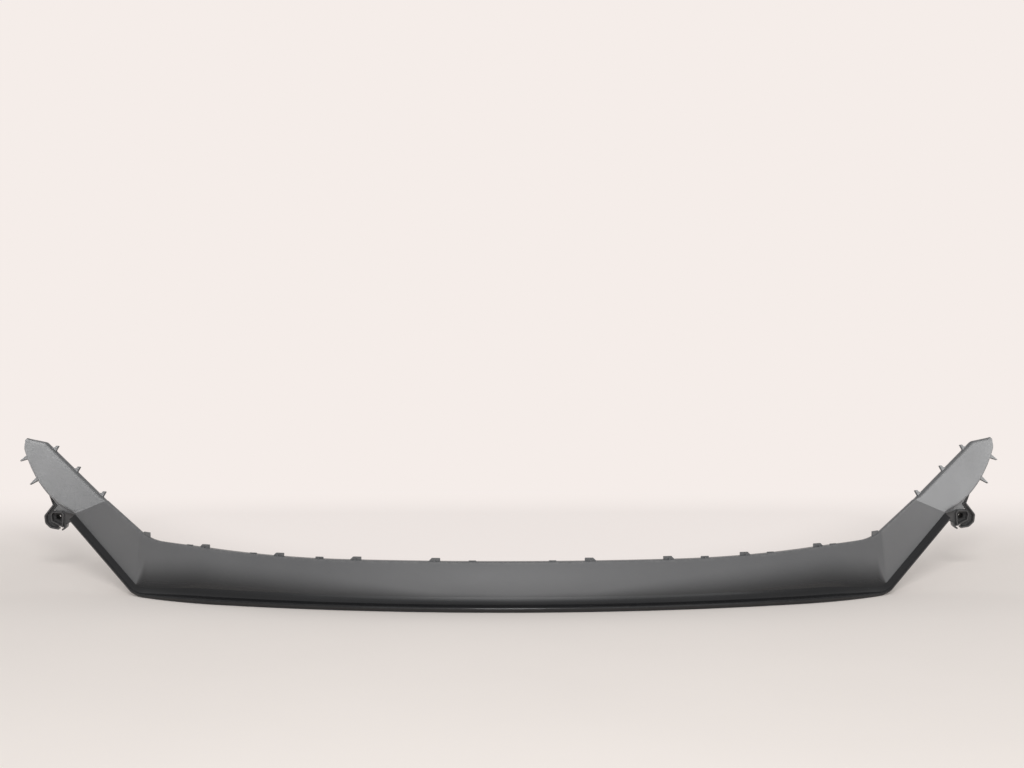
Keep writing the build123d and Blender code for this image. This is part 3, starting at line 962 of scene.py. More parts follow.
        radius, wall = self.nose_round, self.wall
        low, front_low = spot(-radius, 0.0), spot(0.0, radius)
        front_high, high = spot(0.0, edge - top_round), spot(-top_round, edge)
        sag = np.linalg.norm(rows.foot - high, axis=1, keepdims=True)
        chord = unit(np.concatenate((-reach + top_round, height - edge), axis=1))
        flare = bow * sag * (-chord[:, 1:] * rows.outward + chord[:, :1] * UP)
        face_way = unit(rows.top - rows.foot)
        face_end = rows.top - face_way * self.edge_round
        flange_start = rows.top + rows.flange_back * self.edge_round
        flange_end = rows.top + rows.flange_back * top_flange
        flange_low = flange_end - rows.flange_up * wall
        tilt = np.sum(rows.flange_up * rows.face_out, axis=1, keepdims=True)
        lean = -np.sum(rows.flange_back * rows.face_out, axis=1, keepdims=True)
        corner = rows.top - rows.flange_up * wall + rows.flange_back * (wall * (1 - tilt) / lean)
        inner_foot = rows.foot - rows.face_out * wall
        hollow_top, hollow_low = spot(-reach + hollow, wall + gap), spot(-reach + hollow, wall)
        slope = hollow_top - inner_foot
        fall, run_out = slope @ UP, np.sum(slope * rows.outward, axis=1)
        square = fall[:, None] * rows.outward - run_out[:, None] * UP
        knuckle = inner_foot + slope * 0.5 + self.inner_bow_share * bow * square
        rear_top, rear = spot(-reach - bottom_flange, wall), spot(-reach - bottom_flange, 0.0)
        flare_shares = np.arange(self.flare_steps) / self.flare_steps
        face_shares = (np.arange(self.face_steps) / self.face_steps) ** self.face_crowding
        even_shares = np.arange(self.back_steps) / self.back_steps
        below = (1 - flare_shares) * sag
        above = face_shares * np.linalg.norm(rows.top - rows.foot, axis=1, keepdims=True)
        # Share of gloss black by height: the gloss band below the foot, and painted shade where it reaches up
        # the face.
        flare_gloss_shade = 1 - smooth_share(-below, polish_low, polish_high)
        face_gloss_shade = 1 - smooth_share(above, polish_low, polish_high)
        return [
            (rounded(low, spot(0.0, 0.0), front_low, self.round_steps), 0.8, 1.0),
            (between(front_low, front_high, self.flat_steps), 0.3, 1.0),
            (rounded(front_high, spot(0.0, edge), high, self.nose_top_steps), 0.7, 1.0),
            (bowed(high, rows.foot, flare, flare_shares), 0.1, flare_gloss_shade),
            (bowed(rows.foot, face_end, rows.face_out * crown, face_shares), 0.0, face_gloss_shade),
            (rounded(face_end, rows.top, flange_start, self.round_steps), 1.0, 0.0),
            (between(flange_start, flange_end, self.flat_steps), 0.2, 0.0),
            (between(flange_end, flange_low, self.thickness_steps), 0.6, 0.0),
            (between(flange_low, corner, self.underflange_steps), 0.0, 0.0),
            (bowed(corner, inner_foot, rows.face_out * crown, even_shares), 0.0, 0.0),
            (between(inner_foot, knuckle, self.flat_steps), 0.0, 0.0),
            (between(knuckle, hollow_top, self.flat_steps), 0.0, 0.0),
            (between(hollow_top, hollow_low, self.thickness_steps), 0.0, 0.0),
            (between(hollow_low, rear_top, self.bottom_flange_steps), 0.0, 0.0),
            (between(rear_top, rear, self.thickness_steps), 0.6, 0.0),
            (between(rear, low, self.underside_steps), 0.3, 0.0),
        ]

    def skin(self) -> Skin:
        """The shell's closed skin.

        Returns:
            The section's stretches, one after the other, carried along the rows.
        """
        stretches = self.columns(self.rows())
        points = np.concatenate([points for points, _, _ in stretches], axis=1)
        rub = np.repeat([rub for _, rub, _ in stretches], [points.shape[1] for points, _, _ in stretches])
        polish = [np.broadcast_to(polish, points.shape[:2]) for points, _, polish in stretches]
        return Skin.carried(points, rub, np.concatenate(polish, axis=1))


@dataclass(frozen=True)
class UpperWing:
    """The tray beyond the crease: a flat face with rolled edges and shallow walls, open at the back.

    Points lie in the tray's plane, from the crease's outer end. The end walls and the open back are shares of
    the way from the crease to the tip.
    """

    shell: LipShell
    depth: float = 5.5
    roll: float = 3.6
    inner_roll: float = 7.0
    inner_drop: float = 5.2
    crease_roll: float = 1.2
    roll_grows: float = 0.06
    roll_room: float = 0.3
    crease_wall: tuple[float, float] = (0.012, 0.0125)
    open_back: tuple[float, float] = (0.03, 0.97)
    tip_wall: tuple[float, float] = (0.985, 0.9855)
    shoulder: tuple[float, float] = (170.5, 168.0)
    tip: tuple[float, float] = (163.0, 182.5)
    knee: tuple[float, float] = (103.5, 157.2)
    outer_bow: float = 18.5
    tip_round: float = 3.0
    shoulder_round: float = 10.0
    knee_round: float = 6.0
    least_square: float = 0.5
    steps: int = 90
    face_steps: int = 24
    roll_steps: int = 9
    wall_steps: int = 2
    back_steps: int = 8
    arc_steps: int = 120
    corner_steps: int = 12

    @property
    def arc_radius(self) -> float:
        """Radius of the outer edge: (c^2 / 4 + b^2) / 2b for a chord c and a bow b."""
        chord = np.linalg.norm(self.shoulder)
        return (chord ** 2 / 4 + self.outer_bow ** 2) / (2 * self.outer_bow)

    @property
    def arc_length(self) -> float:
        """Length of the outer edge from the crease to the shoulder."""
        return 2 * self.arc_radius * math.asin(np.linalg.norm(self.shoulder) / 2 / self.arc_radius)

    def heel(self) -> np.ndarray:
        """Inner end of the crease in the tray's plane."""
        outer, inner = self.shell.crease()
        return np.array((-np.linalg.norm(outer - inner), 0.0))

    def outer_arc(self, share: np.ndarray) -> np.ndarray:
        """Points of the outer edge: a circle's arc over the chord from the crease to the shoulder.

        Args:
            share: Shares of the arc's length.

        Returns:
            Distance along the chord and height over it, for an angle that grows evenly with the share.
        """
        way = unit(np.array(self.shoulder))
        angle = (share - 0.5) * self.arc_length / self.arc_radius
        along = np.linalg.norm(self.shoulder) / 2 + self.arc_radius * np.sin(angle)
        off = self.arc_radius * (np.cos(angle) - 1) + self.outer_bow
        return along[:, None] * way + off[:, None] * np.array((way[1], -way[0]))

    def paths(self) -> tuple[np.ndarray, np.ndarray]:
        """Edges of the tray's face, with rounded corners.

        Returns:
            Points of the outer and of the inner edge, from the crease to the short edge at the tip.
        """
        shoulder, tip, knee = (np.array(point) for point in (self.shoulder, self.tip, self.knee))
        arc_end = 1.0 - self.shoulder_round / self.arc_length
        arc = self.outer_arc(np.linspace(0.0, arc_end, self.arc_steps))
        outer_end = (shoulder + unit(tip - shoulder) * self.shoulder_round)[None]
        turn = rounded(arc[-1:], shoulder[None], outer_end, self.corner_steps)[0]
        outer = np.concatenate((arc[:-1], turn, outer_end))
        corners = [self.heel()]
        inner = [self.heel()[None]]
        for corner, after, radius in ((knee, tip, self.knee_round), (tip, shoulder, self.tip_round)):
            start = corner + unit(corners[-1] - corner) * radius
            end = corner + unit(after - corner) * radius
            inner.append(rounded(start[None], corner[None], end[None], self.corner_steps)[0])
            inner.append(end[None])
            corners.append(corner)
        return outer, np.concatenate(inner)

    def insets(self, path: np.ndarray, other: np.ndarray) -> np.ndarray:
        """Ways from one edge towards the other, longer where the row is slanted.

        Args:
            path: Points of the edge, in order.
            other: The point of the other edge on each point's row.

        Returns:
            Steps along the rows that lead 1 mm in from the edge, or less where a row runs nearly along it.
        """
        chord = unit(other - path)
        square = np.abs(np.sum(chord * left_normals(path, closed=False), axis=1, keepdims=True))
        return chord / np.maximum(square, self.least_square)

    def skin(self) -> Skin:
        """The right tray's closed skin.

        Returns:
            A loop round the face, its rolled edges, walls and back, carried from the crease to the tip. The
            first and last rows fill the back, which makes the walls at both ends.
        """
        outer_path, inner_path = self.paths()
        wall, depth = self.shell.wall, self.depth
        share = np.concatenate(([0.0], self.crease_wall, np.linspace(*self.open_back, self.steps),
                                self.tip_wall, [1.0]))
        outer, inner = resample(outer_path, share), resample(inner_path, share)
        outer_in, inner_in = self.insets(outer, inner), self.insets(inner, outer)
        end_walls = (share <= self.crease_wall[0]) | (share > self.tip_wall[0])
        walled = np.where(end_walls, depth, wall)[:, None]
        facet = self.shell.upper_facet()

        def spot(flat: np.ndarray, sink: np.ndarray | float) -> np.ndarray:
            """Points of every row at a depth under the tray's face."""
            return np.concatenate((flat, np.broadcast_to(-np.asarray(sink, float), (len(flat), 1))), axis=1)

        room = np.linalg.norm(outer - inner, axis=1, keepdims=True) * self.roll_room
        grown = smooth_share(share, 0.0, self.roll_grows)[:, None]
        roll = self.crease_roll + (self.roll - self.crease_roll) * grown
        inner_roll = np.minimum(roll * self.inner_roll / self.roll, room)
        drop = inner_roll * self.inner_drop / self.inner_roll
        roll = np.minimum(roll, room)
        outer_curl, inner_curl = outer + outer_in * roll, inner + inner_in * inner_roll
        thick = np.minimum(wall, room)
        outer_wall, inner_wall = outer + outer_in * thick, inner + inner_in * thick
        stretches = [
            (between(spot(outer, depth), spot(outer, roll), self.wall_steps), 0.3),
            (rounded(spot(outer, roll), spot(outer, 0.0), spot(outer_curl, 0.0), self.roll_steps), 0.7),
            (between(spot(outer_curl, 0.0), spot(inner_curl, 0.0), self.face_steps), 0.0),
            (rounded(spot(inner_curl, 0.0), spot(inner, 0.0), spot(inner, drop), self.roll_steps), 0.7),
            (between(spot(inner, drop), spot(inner, depth), self.wall_steps), 0.3),
            (between(spot(inner, depth), spot(inner_wall, depth), 1), 0.6),
            (between(spot(inner_wall, depth), spot(inner_wall, walled), 1), 0.0),
            (between(spot(inner_wall, walled), spot(outer_wall, walled), self.back_steps), 0.0),
            (between(spot(outer_wall, walled), spot(outer_wall, depth), 1), 0.0),
            (between(spot(outer_wall, depth), spot(outer, depth), 1), 0.6),
        ]
        flat = np.concatenate([points for points, _ in stretches], axis=1)
        rub = np.repeat([rub for _, rub in stretches], [points.shape[1] for points, _ in stretches])
        return Skin.carried(facet.place(flat[..., :2], flat[..., 2]), rub)


@dataclass(frozen=True)
class Cheek:
    """Web that folds back from the tray's outer edge and widens towards the crease, past the ear."""

    wing: UpperWing
    run: float = 100.0
    sink: float = 1.4
    fold: float = 11.0
    toe: float = 2.5
    notch: tuple[float, float] = (63.0, 7.7)
    heel: tuple[float, float] = (69.0, 17.5)
    corner_round: float = 1.0
    corner_steps: int = 4
    bevel: float = 0.3

    def skin(self) -> Skin:
        """The right cheek.

        Returns:
            A plate as thick as the wall, in the tray's plane turned about the outer edge's chord.
        """
        wall, facet = self.wing.shell.wall, self.wing.shell.upper_facet()
        start, end = self.wing.outer_arc(np.array((0.0, self.run / self.wing.arc_length)))
        way, turn = unit(end - start), math.radians(self.fold)
        inward = np.array((-way[1], way[0]))
        across = way[0] * facet.across + way[1] * facet.up
        side = inward[0] * facet.across + inward[1] * facet.up
        plane = Facet(facet.place(start + inward * self.sink, -wall / 2), across,
                      side * math.cos(turn) + facet.out * math.sin(turn),
                      facet.out * math.cos(turn) - side * math.sin(turn))
        outline = np.array(((self.sink, 0.0), (self.sink, -self.toe), (self.heel[0], -self.heel[1]),
                            (self.notch[0], -self.notch[1]), (np.linalg.norm(end - start), 0.0)))
        outline = round_outline(outline, self.corner_round, self.corner_steps)
        return prism(outline, -wall, 0.0, self.bevel, plane)


@dataclass(frozen=True)
class WingClips:
    """Hooks on the upper wing's inner edge and spikes on its outer edge."""

    wing: UpperWing
    hook_places: tuple[float, ...] = (17.5, 116.5, 204.5)
    hook_ramp_start: float = 14.0
    hook_step_foot: tuple[float, float] = (7.8, 3.3)
    hook_step_top: tuple[float, float] = (7.0, 6.6)
    hook_tip: tuple[float, float] = (-0.5, 9.7)
    hook_wall: float = 2.6
    spike_places: tuple[float, ...] = (151.0, 213.0)
    spike_base: float = 10.0
    spike_reach: float = 18.0
    spike_lean: float = 6.0
    spike_tip: float = 1.6
    spike_depth: float = 3.0
    chord_share: float = 0.002
    corner_round: float = 0.8
    corner_steps: int = 4
    bevel: float = 0.35

    def hooks(self) -> list[Skin]:
        """Hooks on the inner edge.

        Returns:
            Plates that ramp up off the edge and step to a pointed tab facing the crease.
        """
        facet, wing = self.wing.shell.upper_facet(), self.wing
        heel = wing.heel()
        way = unit(np.array(wing.knee) - heel)
        edge = Facet.facing(facet.place(heel), way[0] * facet.across + way[1] * facet.up, facet.out)
        low, sunk = -wing.depth, -wing.shell.wall
        fin = np.array(((0.0, sunk), (self.hook_ramp_start, sunk), (self.hook_ramp_start, 0.0),
                        self.hook_step_foot, self.hook_step_top, self.hook_tip, (0.0, 0.0)))
        outlines = [round_outline(fin + (place, 0.0), self.corner_round, self.corner_steps)
                    for place in self.hook_places]
        return [prism(outline, low, low + self.hook_wall, self.bevel, edge) for outline in outlines]

    def spikes(self) -> list[Skin]:
        """Spikes on the outer edge.

        Returns:
            Flat wedges square to the rolled edge, leaning towards the tip.
        """
        facet, wing = self.wing.shell.upper_facet(), self.wing
        skins = []
        for place in self.spike_places:
            share = place / wing.arc_length
            ends = wing.outer_arc(share + np.array((-self.chord_share, 0.0, self.chord_share)))
            way = unit(ends[2] - ends[0])
            plane = Facet.facing(facet.place(ends[1]), way[0] * facet.across + way[1] * facet.up, facet.out)
            tip, wall = self.spike_base + self.spike_lean, wing.shell.wall
            wedge = np.array(((0.0, wall), (0.0, 0.0), (tip - self.spike_tip, -self.spike_reach),
                              (tip, -self.spike_reach), (self.spike_base, 0.0), (self.spike_base, wall)))
            low, outline = -wing.depth, round_outline(wedge, self.corner_round, self.corner_steps)
            skins.append(prism(outline, low, low + self.spike_depth, self.bevel, plane))
        return skins

    def skin(self) -> Skin:
        """Every clip of the right wing."""
        return Skin.joined(self.hooks() + self.spikes())


@dataclass(frozen=True)
class TopClips:
    """Tongues, barbs, webs and low nibs along the right half of the top flange."""

    shell: LipShell
    tongue_places: tuple[float, ...] = (117.0, 236.5, 357.0, 481.0)
    tongue_size: tuple[float, float] = (17.0, 4.6)
    low_tongue_places: tuple[float, ...] = (292.5,)
    low_tongue_size: tuple[float, float] = (12.0, 2.6)
    bend_tongue_before: float = 12.0
    bend_tongue_size: tuple[float, float] = (14.0, 6.0)
    nib_places: tuple[float, ...] = (60.0, 398.0, 508.0)
    nib_size: tuple[float, float] = (11.0, 1.2)
    tongue_wall: float = 2.4
    tongue_set: float = 1.5
    barb_reach: float = 1.6
    barb_heights: tuple[float, float, float] = (0.3, 0.4, 0.9)
    barb_bevel: float = 0.2
    web_wall: float = 2.0
    web_drop: float = 24.0
    web_bevel: float = 0.15
    corner_round: float = 0.7
    corner_steps: int = 4
    bevel: float = 0.3

    def seat(self, run: float) -> tuple[Rows, Facet]:
        """What a clip stands on.

        Args:
            run: Its place along the nose.

        Returns:
            The section there, and the upright plane near the top flange's rear edge.
        """
        row = self.shell.bow_rows(np.array((run,)))
        outward = row.outward[0]
        along = np.array((-outward[1], outward[0], 0.0))
        origin = row.top[0] + row.flange_back[0] * (row.sizes[0, Size.TOP_FLANGE] - self.tongue_set)
        return row, Facet.facing(origin, along, outward)

    def tongue(self, run: float, size: tuple[float, float], slant: float) -> Skin:
        """Upright tongue rooted in the flange.

        Args:
            run: Its place along the nose.
            size: Its width and height.
            slant: How far its outboard side leans in at the top.

        Returns:
            The tongue.
        """
        facet = self.seat(run)[1]
        half, height, root = size[0] / 2, size[1], -self.shell.wall / 2
        front = np.array(((-half, root), (half, root), (half, 0.0), (half - slant, height), (-half, height)))
        front = round_outline(front, self.corner_round, self.corner_steps)
        return prism(front, 0.0, self.tongue_wall, self.bevel, facet)

    def barb(self, run: float, size: tuple[float, float]) -> Skin:
        """Catch on the back of a tongue, a wedge half as wide that narrows to the top.

        Args:
            run: The tongue's place along the nose.
            size: The tongue's width and height.

        Returns:
            The catch.
        """
        facet = self.seat(run)[1]
        origin = facet.origin - facet.across * (size[0] / 4)
        side = Facet.facing(origin, -facet.out, facet.across)
        sunk, reach = -self.tongue_wall / 2, self.barb_reach
        foot, lip, top = (size[1] * share for share in self.barb_heights)
        wedge = np.array(((sunk, foot), (reach, foot), (reach, lip), (0.0, top), (sunk, top)))
        return prism(wedge, 0.0, size[0] / 2, self.barb_bevel, side)

    def web(self, run: float) -> Skin:
        """Web behind a tongue that ties the flange to the back of the face.

        Args:
            run: Its place along the nose.

        Returns:
            The web.
        """
        row, facet = self.seat(run)
        plane = Facet(row.top[0], row.outward[0], UP, facet.across)
        wall, crown = self.shell.wall, row.sizes[0, Size.CROWN]
        back = np.array((row.flange_back[0] @ row.outward[0], row.flange_back[0] @ UP))
        out = np.array((row.face_out[0] @ row.outward[0], row.face_out[0] @ UP))
        over = np.array((-back[1], back[0])) * (-wall / 2)
        rear = over + back * (row.sizes[0, Size.TOP_FLANGE] - self.tongue_set)
        low = np.array((-out[1], out[0])) * -self.web_drop - out * (wall / 2 - crown)
        outline = np.stack((rear, low, over + back * (wall / 2)))
        return prism(outline, -self.web_wall / 2, self.web_wall / 2, self.web_bevel, plane)

    def skin(self) -> Skin:
        """Every clip of the right half.

        Returns:
            The tongues, their barbs, the low tongue, the nibs, the tongue at the bend and the webs.
        """
        bend = self.shell.bend_run - self.bend_tongue_before
        skins = [self.tongue(run, self.tongue_size, self.tongue_size[1]) for run in self.tongue_places]
        skins += [self.barb(run, self.tongue_size) for run in self.tongue_places]
        skins += [self.tongue(run, self.low_tongue_size, 0.0) for run in self.low_tongue_places]
        skins += [self.tongue(run, self.nib_size, 0.0) for run in self.nib_places]
        skins += [self.tongue(bend, self.bend_tongue_size, 0.0)]
        skins += [self.web(run) for run in (*self.tongue_places, *self.low_tongue_places, bend)]
        return Skin.joined(skins)


@dataclass(frozen=True)
class ScrewEar:
    """Ear outside the crease: a plate with a skirt, a cup and sleeve for the screw, and a drain slot.

    Points lie in the plate's plane, to the right of the screw's axis and above it.
    """

    shell: LipShell
    from_crease: tuple[float, float, float] = (34.5, 28.0, -10.0)
    wall: float = 3.0
    top: tuple[float, float] = (5.5, 22.0)
    shoulder: tuple[float, float] = (19.5, 4.5)
    side: tuple[float, float] = (18.2, -8.2)
    belly: tuple[float, float] = (10.0, -16.2)
    bottom: tuple[float, float] = (-1.0, -18.2)
    lobe: tuple[float, float] = (-10.0, -20.0)
    heel: tuple[float, float] = (-16.0, -15.5)
    neck: tuple[float, float] = (-17.0, -9.5)
    root_low: tuple[float, float] = (-27.0, -5.0)
    root_high: tuple[float, float] = (-25.0, 20.0)
    corner_round: float = 2.4
    corner_steps: int = 7
    notch_corner: tuple[float, float] = (6.5, 10.8)
    notch_top: tuple[float, float] = (2.2, 19.0)
    skirt_wall: float = 2.4
    skirt_reach: float = 11.0
    cup: tuple[tuple[float, float], ...] = ((6.4, 8.2), (-6.4, 8.2), (-8.6, 5.0), (-7.2, -12.6), (7.4, -5.0),
                                            (8.6, 5.0))
    cup_wall: float = 2.0
    cup_reach: float = 7.0
    cup_depth: float = 8.0
    screw_radius: float = 3.3
    sleeve_wall: float = 2.4
    sleeve_reach: float = 24.0
    slot_start: tuple[float, float] = (5.4, -7.6)
    slot_mouth: tuple[float, float] = (-6.0, -8.8)
    edge: float = 0.4
    rays: int = 240
    path_rays: int = 24
    least_lean: float = 1e-6

    def facet(self) -> Facet:
        """Plane of the plate's front.

        Returns:
            A facet from the screw's axis, set off from the crease's outer end, facing straight ahead.
        """
        lower = self.shell.lower_facet()
        crease_start = lower.place(self.shell.crease()[0])
        return Facet.facing(crease_start + np.array(self.from_crease), np.array((1.0, 0.0, 0.0)),
                            np.array((0.0, -1.0, 0.0)))

    def cup_edge(self, angles: np.ndarray, grow: float) -> np.ndarray:
        """Distance from the screw's axis to the cup's inside along each ray.

        Args:
            angles: Directions of the rays.
            grow: How far outside the cup's sides to measure.

        Returns:
            The nearest of (d + grow) / (ray . n), over the sides n . p = d that the ray leaves by.
        """
        corner = np.array(self.cup)
        way = unit(np.roll(corner, -1, axis=0) - corner)
        normal = np.stack((way[:, 1], -way[:, 0]), axis=1)
        far = np.sum(corner * normal, axis=1) + grow
        lean = np.stack((np.cos(angles), np.sin(angles)), axis=1) @ normal.T
        reach = far / np.maximum(lean, self.least_lean)
        return np.where(lean > self.least_lean, reach, np.inf).min(axis=1)

    def boss(self) -> Skin:
        """Cup and sleeve for the screw.

        Returns:
            One ring of radius and height carried round the screw's axis. Its darker-finish share is 1 inside
            the bore, whose near-black lining is painted shade in the hole.
        """
        angles = np.linspace(-math.pi, math.pi, self.rays, endpoint=False)
        cup, rim = self.cup_edge(angles, 0.0), self.cup_edge(angles, self.cup_wall)
        edge, hole, sleeve = self.edge, self.screw_radius, self.screw_radius + self.sleeve_wall
        front, rear, end = self.cup_reach, -self.cup_depth, -self.sleeve_reach
        seat = rear + self.wall
        ring = [(hole + edge, seat), (cup - edge, seat), (cup, seat + edge), (cup, front - edge),
                (cup + edge, front), (rim - edge, front), (rim, front - edge), (rim, rear + edge),
                (rim - edge, rear), (sleeve, rear), (sleeve, end + edge), (sleeve - edge, end),
                (hole + edge, end), (hole, end + edge), (hole, seat - edge)]
        rub = np.array((0.1, 0.0, 0.0, 0.8, 0.8, 0.8, 0.8, 0.3, 0.3, 0.0, 0.3, 0.3, 0.3, 0.3, 0.1))
        bore = np.array([float(np.max(size) <= hole + edge) for size, _ in ring])
        full = np.ones_like(angles)
        radius = np.stack([full * size for size, _ in ring], axis=1)
        height = np.stack([full * lift for _, lift in ring], axis=1)
        flat = radius[..., None] * np.stack((np.cos(angles), np.sin(angles)), axis=1)[:, None, :]
        points = self.facet().place(flat, height).reshape(-1, 3)
        quads = grid_quads(self.rays, len(ring), wrap_rows=True)
        return Skin.quads(points, quads, np.tile(rub, self.rays), np.tile(bore, self.rays))

    def cup_path(self, start: float, end: float) -> np.ndarray:
        """Line inside the cup's wall.

        Args:
            start: Direction of its first point from the screw's axis.
            end: Direction of its last.

        Returns:
            Points from the first round to the last.
        """
        angles = np.linspace(start, end, self.path_rays)
        reach = self.cup_edge(angles, self.cup_wall / 2)
        return reach[:, None] * np.stack((np.cos(angles), np.sin(angles)), axis=1)

    def slot_ends(self) -> tuple[np.ndarray, np.ndarray]:
        """Where the slot leaves the plate.

        Returns:
            The crossings of its outer and its inner side with the plate's bottom edge.
        """
        low = self.lobe[1] - self.corner_round
        outer = crossing(self.slot_start, (self.slot_mouth[0], low), self.bottom, self.lobe)
        inner = crossing(self.cup[3], (self.slot_mouth[1], low), self.bottom, self.lobe)
        return outer, inner

    def skirt_paths(self) -> tuple[np.ndarray, np.ndarray]:
        """Outer edge of the plate, in two parts that the slot divides.

        Returns:
            Open paths with rounded corners, the guard's and the lobe's, each anticlockwise.
        """
        outer_end, inner_end = self.slot_ends()
        guard = np.array((outer_end, self.bottom, self.belly, self.side, self.shoulder, self.top))
        lobe = np.array((self.neck, self.heel, self.lobe, inner_end))
        paths = []
        for corners in (guard, lobe):
            turns = round_outline(corners, self.corner_round, self.corner_steps)
            inside = turns[self.corner_steps:-self.corner_steps]
            paths.append(np.concatenate((corners[:1], inside, corners[-1:])))
        return paths[0], paths[1]

    def plates(self) -> list[Skin]:
        """The plate, in two parts that meet inside the cup's wall.

        Returns:
            The guard outside the cup, and the root between cup and wing.
        """
        guard, lobe = self.skirt_paths()
        middle = self.skirt_wall / 2
        guard = guard + left_normals(guard, closed=False) * middle
        heel = lobe + left_normals(lobe, closed=False) * middle
        places = (self.notch_corner, self.slot_start, self.cup[3])
        turn = [math.atan2(point[1], point[0]) for point in places]
        notch_edge = crossing(self.notch_top, (self.notch_top[0], self.top[1]), self.root_high, self.top)
        level = (self.root_low[0], self.notch_corner[1])
        root_edge = crossing(self.notch_corner, level, self.root_low, self.root_high)
        outside = np.concatenate(([self.notch_corner], self.cup_path(turn[0], turn[1]), [self.slot_start],
                                  guard, [notch_edge, self.notch_top]))
        within = np.concatenate(([self.notch_corner, root_edge, self.root_low, self.neck], heel[1:],
                                 self.cup_path(turn[2] + 2 * math.pi, turn[0])))
        return [prism(outline, -self.wall, 0.0, self.edge / 2, self.facet()) for outline in (outside, within)]

    def skirts(self) -> list[Skin]:
        """Low wall round the outer side.

        Returns:
            One wall on each side of the slot.
        """
        skins = []
        for path in self.skirt_paths():
            inner = path + left_normals(path, closed=False) * self.skirt_wall
            outline = np.concatenate((path, inner[::-1]))
            skins.append(prism(outline, -self.wall, self.skirt_reach, self.edge, self.facet()))
        return skins

    def skin(self) -> Skin:
        """The right ear."""
        return Skin.joined([self.boss()] + self.plates() + self.skirts())


@dataclass(frozen=True)
class Lamp:
    """A soft studio lamp: where it hangs, where it points, its size in metres and its power."""

    name: str
    place: tuple[float, float, float]
    target: tuple[float, float, float]
    size: tuple[float, float]
    power: float
    mirrored: bool = True

    def build(self) -> None:
        """Adds the lamp, which glossy surfaces mirror unless it is told otherwise."""
        light = bpy.data.lights.new(self.name, "AREA")
        light.shape, light.size, light.size_y = "RECTANGLE", *self.size
        light.energy = self.power
        lamp = bpy.data.objects.new(self.name, light)
        lamp.location = self.place
        lamp.visible_glossy = self.mirrored
        way = np.array(self.target) - np.array(self.place)
        from_level = math.hypot(way[0], way[1])
        lamp.rotation_euler = (math.atan2(from_level, -way[2]), 0.0, math.atan2(-way[0], way[1]))
        bpy.context.scene.collection.objects.link(lamp)


